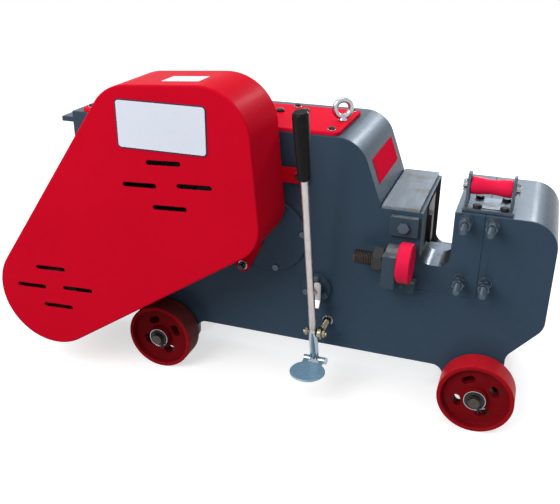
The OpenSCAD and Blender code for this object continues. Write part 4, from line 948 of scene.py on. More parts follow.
class Build:
    """One piece in the making: shapes joined into a mesh, then dressed and tied to the frame."""

    def __init__(self, finishes: Finishes) -> None:
        """Starts an empty mesh.

        Args:
            finishes: The materials that the piece can have.
        """
        self.finishes = finishes
        self.bm = bmesh.new()

    def add(self, shape: Mesh, place: Matrix | None = None, finish: int | None = 0) -> "Build":
        """Joins a shape and frees it.

        Args:
            shape: The shape.
            place: Where it goes.
            finish: Number of its finish among the piece's finishes, or none to keep its faces' own.

        Returns:
            This build.
        """
        for face in shape.faces if finish is not None else ():
            face.material_index = finish
        if place is not None:
            bmesh.ops.transform(shape, matrix=place, verts=shape.verts)
        mesh = bpy.data.meshes.new("join")
        shape.to_mesh(mesh)
        self.bm.from_mesh(mesh)
        bpy.data.meshes.remove(mesh)
        shape.free()
        return self

    def piece(self, name: str, slot: Slot | None, replaces: Sequence[str] = (), looks: Sequence[Coat] = (),
              body: str = Body.FRAME.value, wall: float = 0.0) -> None:
        """Makes the object.

        Args:
            name: The piece's name.
            slot: The record's slot, or none for a bare plate.
            replaces: Frame nodes that it stands for.
            looks: Its finishes by number, or none for the slot's own.
            body: The body that it rides on.
            wall: Thickness of a sheet piece's wall, inwards.
        """
        mesh = bpy.data.meshes.new(name)
        self.bm.to_mesh(mesh)
        rims = [i for i, edge in enumerate(self.bm.edges) if edge.is_boundary]
        self.bm.free()
        mesh.shade_smooth()
        mesh.set_sharp_from_angle(angle=math.radians(SMOOTH_ANGLE))
        for i in rims:
            mesh.edges[i].use_edge_sharp = True
        for look in looks or [slot]:
            mesh.materials.append(self.finishes[look])
        piece = bpy.data.objects.new(name, mesh)
        bpy.context.scene.collection.objects.link(piece)
        if wall:
            sheet_wall = piece.modifiers.new("wall", "SOLIDIFY")
            sheet_wall.thickness = wall
            sheet_wall.offset = -1.0
            sheet_wall.use_even_offset = True
        piece.modifiers.new("even_shading", "WEIGHTED_NORMAL").keep_sharp = True
        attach(piece, body)
        if replaces:
            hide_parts(*replaces)
        log.info("%s: %d faces on %s", name, len(mesh.polygons), body)


@dataclass
class Assembly:
    """Base of the sub-assemblies, which share one set of materials."""

    finishes: Finishes

    def start(self) -> Build:
        """A new, empty piece."""
        return Build(self.finishes)


@dataclass
class SoftEdges(Assembly):
    """Frame nodes whose shape is right, shown with rounded edges."""

    shortest: float = 2.6 * MM
    flat: float = 0.5
    needle: float = 0.001 * MM
    slide_play: float = 1.0 * MM
    bare_rise: float = 18.0 * MM
    bare_side: float = 6.0 * MM
    floor_facing: float = -0.5
    wall_facing: float = 0.7
    ear_lift: float = 7.0 * MM
    ear_neck: float = 7.7 * MM

    def build(self, node: str, slot: Slot, radius: float, look: Look | None = None) -> None:
        """Copies a node, rounds its long edges and lets the copy stand for it.

        Args:
            node: The node.
            slot: Its slot in the record.
            radius: Radius of its edges.
            look: Its own finish, or none for the slot's.
        """
        bm = bmesh.new()
        bm.from_mesh(frame["nodes"][node].data)
        bmesh.ops.remove_doubles(bm, verts=bm.verts, dist=2 * MERGE)
        self._close_needles(bm)
        bmesh.ops.dissolve_limit(bm, angle_limit=math.radians(self.flat), use_dissolve_boundaries=False,
                                 verts=bm.verts[:], edges=bm.edges[:])
        round_edges(bm, radius, shortest=self.shortest, skip=self._slideway(bm))
        looks = [look or slot]
        if node == "roller_stand":
            self._raise_ears(bm)
        build = self.start().add(bm)
        if node == "throat_block":
            looks += [Look.MILLED, Look.THROAT]
            self._bare_throat(build.bm)
        build.piece(f"{node}_dressed", slot, [node], looks, frame["nodes"][node]["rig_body"])

    def _slideway(self, bm: Mesh) -> set:
        """Inner corners around the ram, which stay square so that it slides freely.

        Args:
            bm: The copied node.

        Returns:
            Their edges.
        """
        ram = span("ram")
        play = Vector((self.slide_play,) * 3)
        lo = ram.lo - play
        hi = ram.hi + play
        corners = set()
        for edge in bm.edges:
            near = all(lo.y < v.co.y < hi.y and lo.z < v.co.z < hi.z for v in edge.verts)
            if near and not edge.is_convex:
                corners.add(edge)
        return corners

    def _close_needles(self, bm: Mesh) -> None:
        """Closes the needle-thin triangles that would tie separate walls together.

        Args:
            bm: The copied node.
        """
        while True:
            thin = None
            for face in bm.faces:
                edge = max(face.edges, key=lambda e: e.calc_length())
                if len(face.verts) == 3 and 2 * face.calc_area() < self.needle * edge.calc_length():
                    thin = face
                    break
            if thin is None:
                return
            tip = next(v for v in thin.verts if v not in edge.verts)
            start = edge.verts[0]
            share = (tip.co - start.co).length / edge.calc_length()
            extra = bmesh.utils.edge_split(edge, start, share)[1]
            bmesh.ops.weld_verts(bm, targetmap={extra: tip})

    def _raise_ears(self, bm: Mesh) -> None:
        """Lifts the heads of the stand's ears clear of the roller.

        Args:
            bm: The stand.
        """
        neck = span("feed_roller").centre.z + self.ear_neck
        head = [v for v in bm.verts if v.co.z > neck]
        bmesh.ops.translate(bm, vec=(0.0, 0.0, self.ear_lift), verts=head)

    def _bare_throat(self, bm: Mesh) -> None:
        """Leaves the throat's floor unpainted and its side walls dull, their finish darkened towards the back
        as a painted shade.

        Args:
            bm: The throat block.
        """
        left = span("guide_plate").hi.x
        right = span("fixed_blade").lo.x
        floor = span("ram").lo.z
        for face in bm.faces:
            spot = face.calc_center_median()
            inside = left < spot.x < right + self.bare_side and face.normal.y > self.floor_facing
            if inside and abs(spot.z - floor) < self.bare_rise:
                face.material_index = 1
            elif abs(face.normal.x) > self.wall_facing and spot.x < right + self.bare_side:
                face.material_index = 2


def belt_outline(circles: Sequence[tuple[float, float, float]], step: float = 3.0) -> list[Point]:
    """Outline of a taut band round circles.

    Args:
        circles: Centre and radius of each, counter-clockwise.
        step: Degrees between points on an arc.

    Returns:
        The outline's points, counter-clockwise.
    """
    def normal(a: tuple, b: tuple) -> float:
        """Direction of the outer tangent's normal from one circle to the next."""
        reach = math.hypot(b[0] - a[0], b[1] - a[1])
        return math.atan2(b[1] - a[1], b[0] - a[0]) - math.acos((a[2] - b[2]) / reach)

    points = []
    for i, (x, z, r) in enumerate(circles):
        start = normal(circles[i - 1], circles[i])
        sweep = (normal(circles[i], circles[(i + 1) % len(circles)]) - start) % math.tau
        count = max(1, math.ceil(math.degrees(sweep) / step))
        angles = [start + sweep * k / count for k in range(count + 1)]
        points += [(x + r * math.cos(a), z + r * math.sin(a)) for a in angles]
    return points


def sheet(rims: Sequence[Sequence[Point]], depth: float) -> Mesh:
    """A flat plate on z = 0 with holes.

    Args:
        rims: Its outline, then the outline of each hole.
        depth: Its thickness.

    Returns:
        The sheet.
    """
    bm = bmesh.new()
    edges = []
    for rim in rims:
        verts = [bm.verts.new((x, y, 0.0)) for x, y in rim]
        edges += [bm.edges.new(pair) for pair in zip(verts, verts[1:] + verts[:1])]
    bmesh.ops.triangle_fill(bm, use_beauty=True, use_dissolve=False, edges=edges, normal=(0, 0, 1))
    return thicken(bm, depth)


def arc(radius: float, start: float, sweep: float, steps: int, centre: Point = (0.0, 0.0)) -> list[Point]:
    """Points along an arc.

    Args:
        radius: Its radius.
        start: Its first angle, in degrees.
        sweep: Its turn, in degrees.
        steps: Steps along it.
        centre: Its centre.

    Returns:
        The points, both ends among them.
    """
    angles = [math.radians(start + sweep * i / steps) for i in range(steps + 1)]
    return [(centre[0] + radius * math.cos(a), centre[1] + radius * math.sin(a)) for a in angles]


@dataclass
class BeltGuard(Assembly):
    """The deep red cover over the belts, with its vents and its bare sign plate."""

    wall: float = 3.0 * MM
    low_r: float = 127.0 * MM
    heel_r: float = 80.0 * MM
    head_r: float = 105.0 * MM
    far_head_r: float = 95.0 * MM
    heel_near: float = 117.0 * MM
    head_near: float = 76.5 * MM
    head_far: float = 74.0 * MM
    edge_r: float = 4.0 * MM
    vent_l: float = 77.0 * MM
    vent_w: float = 10.5 * MM
    vent_tilt: float = 3.0
    vent_step: float = 30.0
    vent_across: tuple = (57.0 * MM, 52.0 * MM)
    vent_down: tuple = (66.0 * MM, -42.0 * MM)
    vent_drop: float = 11.0 * MM
    vent_shift: float = 21.0 * MM
    sign_size: tuple = (196.0 * MM, 99.0 * MM)
    sign_at: tuple = (-5.0 * MM, 108.5 * MM)
    sign_border: float = 2.6 * MM
    sign_t: float = 1.2 * MM
    sign_r: float = 9.0 * MM
    label_size: tuple = (80.0 * MM, 52.0 * MM)
    label_t: float = 0.6 * MM
    label_at: tuple = (22.0 * MM, 65.0 * MM)
    washer_t: float = 2.0 * MM
    washer_bore: float = 0.55
    nut_reach: float = 0.9
    nut_bore: float = 0.56

    def build(self) -> None:
        """Builds the cover, its nuts and its sign plate."""
        self.box = span("belt_guard")
        drive = span("drive_shaft").centre
        self.drive = (drive.x, drive.z)
        motor = span("motor_pulley").centre
        self.motor = (motor.x, motor.z)
        self._cover()
        self._nuts()
        self._sign()
        self._label()

    def _circles(self) -> list[tuple[float, float, float]]:
        """Circles that the cover's rim runs round.

        Returns:
            Centre and radius of each.
        """
        x, z = self.drive
        head_z = self.box.hi.z - self.head_r
        return [(*self.motor, self.low_r), (x + self.heel_near, z - self.heel_r, self.heel_r),
                (x + self.head_near, head_z, self.head_r), (x - self.head_far, head_z, self.far_head_r)]

    def _vents(self) -> list[Point]:
        """Middles of the eight vent slots.

        Returns:
            Four points around each shaft.
        """
        x, z = self.drive
        groups = [(x, z - self.vent_drop), (self.motor[0] + self.vent_shift, self.motor[1] + self.vent_shift)]
        return [(gx + i * self.vent_across[0] + j * self.vent_down[0],
                 gz + i * self.vent_across[1] + j * self.vent_down[1])
                for gx, gz in groups for i in (-0.5, 0.5) for j in (-0.5, 0.5)]

    def _slot_outline(self, middle: Point) -> list[Point]:
        """Round-ended outline of one vent.

        Args:
            middle: The vent's middle.

        Returns:
            The outline's points.
        """
        half = (self.vent_l - self.vent_w) / 2
        across = half * math.cos(math.radians(self.vent_tilt))
        rise = half * math.sin(math.radians(self.vent_tilt))
        ends = [(middle[0] + k * across, middle[1] + k * rise, self.vent_w / 2) for k in (-1, 1)]
        return belt_outline(ends, self.vent_step)

    def _cover(self) -> None:
        """Builds the pressed cover from its outline and vents."""
        bm = bmesh.new()
        front = self.box.lo.y

        def loop(points: list[Point]) -> list:
            """Closed loop of edges in the front face."""
            verts = [bm.verts.new((x, front, z)) for x, z in points]
            return [bm.edges.new(pair) for pair in zip(verts, verts[1:] + verts[:1])]

        rim = loop(belt_outline(self._circles()))
        vents = [edge for middle in self._vents() for edge in loop(self._slot_outline(middle))]
        bmesh.ops.triangle_fill(bm, use_beauty=True, use_dissolve=False, edges=rim + vents, normal=(0, -1, 0))
        depth = Vector((0.0, self.box.size.y, 0.0))
        grow(bm, rim, lambda p: p + depth)
        bmesh.ops.recalc_face_normals(bm, faces=bm.faces)
        edge = [e for e in rim if e.is_valid]
        bmesh.ops.bevel(bm, geom=edge, offset=self.edge_r, offset_type="OFFSET", segments=4, profile=0.5,
                        affect="EDGES", clamp_overlap=True, material=-1)
        self.start().add(bm).piece("belt_guard_cover", Slot.GUARD, ["belt_guard"], wall=self.wall)

    def _nuts(self) -> None:
        """Builds the dark nuts and bright washers on the guard's studs."""
        build = self.start()
        t = self.washer_t
        for nut in solids("guard_nuts"):
            reach = nut.size.z / 2
            x, y, z = nut.centre.x, nut.hi.y, nut.centre.z
            build.add(flat_ring(self.washer_bore * reach, reach, t, 32), at((x, y, z), Way.FRONT), 1)
            head = hexagon(self.nut_reach * reach, nut.size.y - t, self.nut_bore * reach)
            build.add(head, at((x, y - t, z), Way.FRONT))
        build.piece("guard_nut_set", Slot.ZINC, ["guard_nuts"], [Slot.DARK, Slot.ZINC])

    def _sign(self) -> None:
        """Builds the bare white sign plate with its thin dark border."""
        x, z = self.drive
        face = plate(rectangle(*self.sign_size), self.sign_t, self.sign_r)
        top = [f for f in face.faces if f.normal.z > 0.9]
        for f in face.faces:
            f.material_index = 1
        bmesh.ops.inset_region(face, faces=top, thickness=self.sign_border, use_even_offset=True)
        for f in top:
            f.material_index = 0
        place = at((x + self.sign_at[0], self.box.lo.y, z + self.sign_at[1]), Way.FRONT)
        self.start().add(face, place, None).piece("sign_plate", None, looks=[Look.SIGN, Look.BORDER])

    def _label(self) -> None:
        """Builds the bare white plate on the cover's top, which slopes a little."""
        x = self.drive[0] + self.label_at[0]
        y = self.box.lo.y + self.label_at[1]
        fall = (self.head_r - self.far_head_r) / (self.head_near + self.head_far)
        z = self.box.hi.z - fall * (self.head_near - self.label_at[0])
        place = Matrix.Translation((x, y, z)) @ Matrix.Rotation(-math.asin(fall), 4, "Y")
        label = plate(rectangle(*self.label_size), self.label_t)
        self.start().add(label, place).piece("cover_label", None, looks=[Look.SIGN])


@dataclass
class TopCover(Assembly):
    """The red plate on the body with its screws, oil plugs and lifting eye."""

    corner_r: float = 14.0 * MM
    edge_r: float = 1.6 * MM
    washer_t: float = 1.6 * MM
    washer_bore: float = 0.4
    washer_reach: float = 1.12
    head_reach: float = 0.86
    socket_reach: float = 0.42
    socket_floor: float = 0.55
    washer_edge: float = 0.4 * MM
    head_edge: float = 0.8 * MM
    plug_neck: float = 0.7
    plug_shoulder: float = 0.6
    plug_edge: float = 0.9 * MM
    eye_turn: float = 35.0
    eye_bar: float = 6.1 * MM
    eye_collar: tuple = ((1.6, 0.0), (1.6, 0.4), (1.4, 0.6), (1.1, 0.9))
    eye_weld: float = 0.7
    eye_shank: float = 0.8
    collar_edge: float = 0.7 * MM

    def build(self) -> None:
        """Builds the plate and what is on it."""
        box = span("top_cover")
        bm = plate(rectangle(box.size.x, box.size.y), box.size.z, self.corner_r)
        round_edges(bm, self.edge_r, 3)
        build = self.start().add(bm, at((box.centre.x, box.centre.y, box.lo.z)))
        build.piece("top_cover_plate", Slot.BRIGHT, ["top_cover"], [Look.COVER])
        self.top = box.hi.z
        self._screws()
        self._plugs()
        self._eye()

    def _screws(self) -> None:
        """Builds the black cap screws on their bright washers."""
        build = self.start()
        t = self.washer_t
        for screw in solids("cover_bolts"):
            r = screw.size.y / 2
            head_r = self.head_reach * r
            socket_r = self.socket_reach * r
            high = screw.hi.z - self.top
            floor = high * self.socket_floor
            place = at((*screw.centre.xy, self.top))
            washer = flat_ring(self.washer_bore * r, self.washer_reach * r, t, 32)
            build.add(round_edges(washer, self.washer_edge, 1), place, 1)
            head = turned([(0, t), (head_r, t), (head_r, high), (socket_r, high), (socket_r, floor),
                           (0, floor)], 30)
            build.add(round_edges(head, self.head_edge), place)
        build.piece("cover_screws", Slot.BLACK, ["cover_bolts"], [Slot.BLACK, Slot.ZINC])

    def _plugs(self) -> None:
        """Builds the two black oil plugs."""
        build = self.start()
        for plug in solids("oil_plugs"):
            r = plug.size.x / 2
            high = plug.hi.z - self.top
            shoulder = self.plug_shoulder * high
            body = turned([(0, 0), (r, 0), (r, shoulder), (self.plug_neck * r, high), (0, high)], 36)
            build.add(round_edges(body, self.plug_edge), at((*plug.centre.xy, self.top)))
        build.piece("oil_plug_caps", Slot.BLACK, ["oil_plugs"])

    def _eye(self) -> None:
        """Builds the forged lifting eye: ring, neck, collar and shank."""
        box = span("lifting_eye")
        x, y = box.centre.xy
        bar = self.eye_bar
        foot = self.top
        mount = next(m for m in frame["record"]["mounts"] if m["name"] == "lifting_eye")
        ring_r = mount["dims"]["r_mm"] * MM + bar
        ring_z = mount["pos_m"][2]
        ring = bmesh.new()
        upright = Matrix.Rotation(math.pi / 2, 4, "X")
        start = Matrix.Translation((ring_r, 0, 0)) @ upright
        bmesh.ops.create_circle(ring, segments=20, radius=bar, matrix=start)
        bmesh.ops.spin(ring, geom=ring.verts[:] + ring.edges[:], cent=(0, 0, 0), axis=(0, 0, 1),
                       angle=math.tau, steps=56, use_merge=True)
        bmesh.ops.recalc_face_normals(ring, faces=ring.faces)
        turn = Matrix.Rotation(math.radians(self.eye_turn), 4, "Z") @ upright
        build = self.start().add(ring, Matrix.Translation((x, y, ring_z)) @ turn)
        low = ring_z - ring_r - foot
        neck = low + self.eye_weld * bar
        side = [(wide * bar, high * low) for wide, high in self.eye_collar]
        collar = turned([(0, 0), *side, (bar, neck), (0, neck)], 40)
        build.add(round_edges(collar, self.collar_edge), at((x, y, foot)))
        build.add(solid_rod(self.eye_shank * bar, foot - box.lo.z), at((x, y, box.lo.z)))
        build.piece("lifting_eye_forged", Slot.ZINC, ["lifting_eye"])


@dataclass
class JawHardware(Assembly):
    """Studs, washers and nuts on the jaw, and the bolt of the slide cover."""

    pitch: float = 2.0 * MM
    washer_t: float = 3.0 * MM
    washer_edge: float = 0.6 * MM
    spring_t: float = 3.5 * MM
    spring_reach: float = 0.82
    nut_h: float = 12.8 * MM
    nut_reach: float = 0.94
    nut_turn: tuple = (20.0, 13.0)
    jam_h: float = 13.0 * MM
    jam_reach: float = 0.9
    jam_turn: tuple = (41.0, 17.0)
    head_grow: float = 1.18
    head_turn: float = 30.0
    head_to_shank: float = 1.8

    def build(self) -> None:
        """Builds the studs, the nuts and the bolt."""
        studs = self.start()
        stud_r = solids("jaw_studs")[0].size.x / 2
        for stud in solids("jaw_studs"):
            foot = (stud.centre.x, stud.hi.y, stud.centre.z)
            studs.add(threaded(stud_r, self.pitch, stud.size.y), at(foot, Way.FRONT))
        studs.piece("jaw_stud_set", Slot.DARK, ["jaw_studs"], [Look.STUD])
        nuts = self.start()
        for i, nut in enumerate(solids("jaw_nuts")):
            reach = nut.size.x / 2
            x, y, z = nut.centre.x, nut.hi.y, nut.centre.z
            for radius, thick in ((reach, self.washer_t), (self.spring_reach * reach, self.spring_t)):
                washer = round_edges(flat_ring(stud_r, radius, thick), self.washer_edge)
                nuts.add(washer, at((x, y, z), Way.FRONT))
                y -= thick
            for share, high, (first, more) in ((self.nut_reach, self.nut_h, self.nut_turn),
                                               (self.jam_reach, self.jam_h, self.jam_turn)):
                nuts.add(hexagon(share * reach, high, stud_r), at((x, y, z), Way.FRONT, first + more * i))
                y -= high
        nuts.piece("jaw_nut_set", Slot.DARK, ["jaw_nuts"], [Look.STUD])
        self._slide_bolt()

    def _slide_bolt(self) -> None:
        """Builds the hexagon bolt that holds the slide cover."""
        bolt = span("slide_bolt")
        face = span("slide_cover").lo.y
        reach = self.head_grow * bolt.size.z / 2
        seat = (bolt.centre.x, face, bolt.centre.z)
        build = self.start().add(hexagon(reach, face - bolt.lo.y), at(seat, Way.FRONT, self.head_turn))
        build.add(solid_rod(reach / self.head_to_shank, bolt.hi.y - face), at(seat, Way.BACK))
        build.piece("slide_hex_bolt", Slot.DARK, ["slide_bolt"], [Look.STUD])


@dataclass
class HoldDown(Assembly):
    """The threaded hold-down screw, its lock nut and the red pad that steadies the bar."""

    pitch: float = 3.5 * MM
    back_cut: float = 4.0 * MM
    face_cut: float = 1.5 * MM
    dish: float = 2.0 * MM
    dish_rim: float = 0.78
    dish_floor: float = 0.74
    pad_edge: float = 0.9 * MM
    pad_angle: float = 20.0
    screw_r: float = 3.6 * MM
    screw_h: float = 0.7 * MM
    socket_r: tuple = (0.55, 0.5)
    socket_floor: float = 0.1 * MM
    screw_at: tuple = (36.0 * MM, 13.0 * MM)
    foot_out: float = 30.0 * MM

    def build(self) -> None:
        """Builds the screw, the nut and the pad."""
        screw = span("hold_down_screw")
        nut = span("lock_nut")
        r = screw.size.z / 2
        rod = threaded(r, self.pitch, screw.size.x, 22)
        build = self.start().add(rod, at((screw.hi.x, screw.centre.y, screw.centre.z), Way.LEFT))
        build.piece("hold_down_thread", Slot.DARK, ["hold_down_screw"], [Look.AXLE], Body.HOLD_DOWN.value)
        lock = hexagon(nut.size.z / 2, nut.size.x, r)
        build = self.start().add(lock, at((nut.hi.x, nut.centre.y, nut.centre.z), Way.LEFT))
        build.piece("hold_down_lock_nut", Slot.DARK, ["lock_nut"])
        self._pad(r)
        self._foot_screw()

    def _pad(self, bore: float) -> None:
        """Builds the dished red pad on the screw's end.

        Args:
            bore: Radius of the screw in it.
        """
        pad = span("hold_down_disc")
        big = pad.size.z / 2
        deep = pad.size.x
        cut = self.back_cut
        face_cut = self.face_cut
        floor = deep - self.dish
        disc = turned([(bore, 0), (big - cut, 0), (big, cut), (big, deep - face_cut), (big - face_cut, deep),
                       (self.dish_rim * big, deep), (self.dish_floor * big, floor), (0, floor), (0, deep / 2),
                       (bore, deep / 2)], 72)
        place = at((pad.lo.x, pad.centre.y, pad.centre.z), Way.RIGHT)
        build = self.start().add(round_edges(disc, self.pad_edge, angle=self.pad_angle), place)
        build.piece("hold_down_pad", Slot.BRIGHT, ["hold_down_disc"], body=Body.HOLD_DOWN.value)

    def _foot_screw(self) -> None:
        """Builds the small black socket screw in the bracket's foot."""
        foot = span("hold_down_bracket").lo
        face = span("body_shell").lo.y - self.foot_out
        r = self.screw_r
        high = self.screw_h
        rim, floor = (share * r for share in self.socket_r)
        low = self.socket_floor
        head = turned([(0, 0), (r, 0), (r, high), (rim, high), (floor, low), (0, low)], 24)
        place = at((foot.x + self.screw_at[0], face, foot.z + self.screw_at[1]), Way.FRONT)
        self.start().add(head, place).piece("bracket_screw", Slot.BLACK)


@dataclass
class FeedRoller(Assembly):
    """The waisted red roller on the jaw, with its axle, split pins and bolts."""

    waist: float = 3.0 * MM
    waist_steps: int = 8
    rim: float = 6.0 * MM
    run: float = 0.3 * MM
    edge: float = 1.2 * MM
    edge_angle: float = 40.0
    axle_edge: float = 1.0 * MM
    pin_r: float = 1.5 * MM
    pin_eye: float = 2.6 * MM
    pin_in: float = 4.5 * MM
    base_t: float = 8.0 * MM
    bolt_turn: float = 15.0
    pad_size: tuple = (35.0 * MM, 64.0 * MM)
    pad_t: float = 1.2 * MM
    pad_r: float = 2.0 * MM
    pad_edge: float = 0.4 * MM

    def build(self) -> None:
        """Builds the roller, its axle, and the stand's bolts and wear pad."""
        box = span("feed_roller")
        axle = span("roller_axle")
        half = box.size.x / 2
        big = box.size.z / 2
        axle_r = axle.size.y / 2
        bore = axle_r + self.run
        run = half - self.rim
        n = self.waist_steps
        curve = [(big - self.waist * math.cos(0.5 * math.pi * t / n) ** 2, run * t / n)
                 for t in range(-n, n + 1)]
        shape = turned([(bore, -half), (big, -half), *curve, (big, half), (bore, half)], 64, True)
        build = self.start().add(round_edges(shape, self.edge, 3, self.edge_angle), at(box.centre, Way.RIGHT))
        build.piece("feed_roller_turned", Slot.BRIGHT, ["feed_roller"], body=Body.ROLLER.value)
        self._axle(axle, axle_r)
        self._stand_bolts()

    def _axle(self, axle: Span, r: float) -> None:
        """Builds the axle with a split pin at each end.

        Args:
            axle: Its box.
            r: Its radius.
        """
        x, y, z = axle.lo.x, axle.centre.y, axle.centre.z
        rod = round_edges(solid_rod(r, axle.size.x, 32), self.axle_edge)
        build = self.start().add(rod, at((x, y, z), Way.RIGHT))
        for spot in (x + self.pin_in, axle.hi.x - self.pin_in):
            build.add(split_pin(axle.size.z, self.pin_r, self.pin_eye), at((spot, y, axle.lo.z)))
        build.piece("roller_axle_pinned", Slot.BARE, ["roller_axle"])

    def _stand_bolts(self) -> None:
        """Builds the bolts in the stand's base and the wear pad between them."""
        build = self.start()
        foot = span("roller_stand").lo.z + self.base_t
        for bolt in solids("stand_bolts"):
            head = hexagon(bolt.size.x / 2, bolt.hi.z - foot)
            build.add(head, at((*bolt.centre.xy, foot), Way.UP, self.bolt_turn))
        build.piece("stand_hex_bolts", Slot.DARK, ["stand_bolts"])
        pad = round_edges(plate(rectangle(*self.pad_size), self.pad_t, self.pad_r), self.pad_edge, 1)
        place = at((*span("stand_bolts").centre.xy, foot))
        self.start().add(pad, place).piece("stand_wear_pad", Slot.WORN)


@dataclass
class CastWheel(Assembly):
    """One cast road wheel: tread, rim, slotted web and hub."""

    rim_t: float = 11.0 * MM
    web_t: float = 28.0 * MM
    hub_r: float = 24.0 * MM
    slots: int = 4
    slot_mid: float = 41.5 * MM
    slot_half: float = 8.5 * MM
    slot_turn: float = 64.0
    slot_sweep: float = 17.0
    lean: float = 2.5 * MM
    lip: float = 1.8 * MM
    run: float = 0.3 * MM
    edge: float = 1.4 * MM
    edge_angle: float = 24.0
    web_edge: float = 1.2 * MM
    web_angle: float = 60.0
    steps: int = 96

    def build(self, node: str, body: str, tread: Coat) -> None:
        """Builds the wheel that stands for a node.

        Args:
            node: The frame's wheel.
            body: The body that turns.
            tread: Finish of its tread.
        """
        box = span(node)
        big = box.size.z / 2
        half = box.size.y / 2
        rim = big - self.rim_t
        web = self.web_t / 2
        bore = Axles.axle_r + self.run
        inner = rim - self.lean
        ring = [(big, half - self.lip), (big - self.lip, half), (rim + self.lean, half),
                (inner, web), (inner, 0)]
        boss = [(self.hub_r + self.lean, 0), (self.hub_r + self.lean, web), (self.hub_r, half), (bore, half)]
        build = self.start()
        turn = Matrix.Translation(box.centre) @ Matrix.Rotation(-math.pi / 2, 4, "X")
        for finish, side in ((0, ring), (1, boss)):
            mirror = [(r, -z) for r, z in reversed(side) if z > 0]
            shape = turned(side + mirror, self.steps, True)
            build.add(round_edges(shape, self.edge, 3, self.edge_angle), turn, finish)
        build.add(self._web(rim), turn @ Matrix.Translation((0, 0, -web)), 1)
        # Faces inside the rim take the dark web copy and the rim's side faces the dark rim copy: painted
        # shade beside the lit tread.
        for face in build.bm.faces:
            away = face.calc_center_median() - box.centre
            if math.hypot(away.x, away.z) < rim and face.material_index == 0:
                face.material_index = 1
            elif abs(face.normal.y) > 0.5 and face.material_index == 0:
                face.material_index = 2
        build.piece(f"{node}_cast", Slot.WHEEL, [node], [tread, Look.WEB, Look.RIM], body)

    def _web(self, rim: float) -> Mesh:
        """The web plate with its kidney slots.

        Args:
            rim: Inner radius of the rim.

        Returns:
            The web on z = 0.
        """
        holes = []
        for i in range(self.slots):
            first = self.slot_turn + 360.0 / self.slots * i - self.slot_sweep / 2
            last = first + self.slot_sweep
            start, end = arc(self.slot_mid, first, self.slot_sweep, 1)
            holes.append(arc(self.slot_mid + self.slot_half, first, self.slot_sweep, 4)[:-1]
                         + arc(self.slot_half, last, 180.0, 8, end)[:-1]
                         + arc(self.slot_mid - self.slot_half, last, -self.slot_sweep, 4)[:-1]
                         + arc(self.slot_half, first + 180.0, 180.0, 8, start)[:-1])
        outer = arc(rim, 0.0, 360.0, self.steps)[:-1]
        inner = arc(self.hub_r, 0.0, 360.0, self.steps // 2)[:-1]
        return round_edges(sheet([outer, inner, *holes], self.web_t), self.web_edge, angle=self.web_angle)


@dataclass
class Axles(Assembly):
    """The two axles with their washers and split pins."""

    axle_r: float = 12.0 * MM
    drill_r: float = 2.6 * MM
    edge: float = 1.3 * MM
    edge_angle: float = 60.0
    pin_r: float = 1.7 * MM
    pin_eye: float = 3.2 * MM
    pin_in: float = 5.0 * MM
    pin_turn: float = -32.0
    pin_head: float = 18.0 * MM
    pin_legs: float = 27.0 * MM
    lip_w: float = 1.5 * MM
    lip_edge: float = 0.5 * MM
    groove: float = 0.9 * MM
    collar_w: float = 4.5 * MM

    def build(self) -> None:
        """Builds the axles and washers."""
        build = self.start()
        r = self.axle_r
        drill = self.drill_r
        lean = Matrix.Rotation(math.radians(self.pin_turn), 4, "Y")
        lean = lean @ Matrix.Translation((0, 0, -self.pin_legs))
        for axle in solids("axles"):
            x, z = axle.centre.x, axle.centre.z
            long = axle.size.y
            rod = turned([(0, drill), (drill, 0), (r, 0), (r, long), (drill, long), (0, long - drill)], 40)
            build.add(round_edges(rod, self.edge, angle=self.edge_angle), at((x, axle.lo.y, z), Way.BACK))
            for y in (axle.lo.y + self.pin_in, axle.hi.y - self.pin_in):
                pin = split_pin(self.pin_head + self.pin_legs, self.pin_r, self.pin_eye)
                build.add(pin, Matrix.Translation((x, y, z)) @ lean, 1)
        build.piece("axle_pair", Slot.DARK, ["axles"], [Look.AXLE, Slot.DARK])
        self._washers()

    def _washers(self) -> None:
        """Builds the dark wheel washers with a bright lip round each."""
        build = self.start()
        a = self.axle_r
        b = a + self.collar_w
        d = self.groove
        for ring in solids("axle_washers"):
            r = ring.size.x / 2
            t = ring.size.y
            rim = r - self.lip_w
            face = turned([(a, 0), (b, 0), (b + d, d), (rim, d), (rim, t - d), (b + d, t - d), (b, t),
                           (a, t)], 48, True)
            place = at((ring.centre.x, ring.lo.y, ring.centre.z), Way.BACK)
            build.add(face, place)
            build.add(round_edges(flat_ring(rim, r, t, 48), self.lip_edge), place, 1)
        build.piece("axle_washer_set", Slot.DARK, ["axle_washers"], [Slot.DARK, Slot.ZINC])


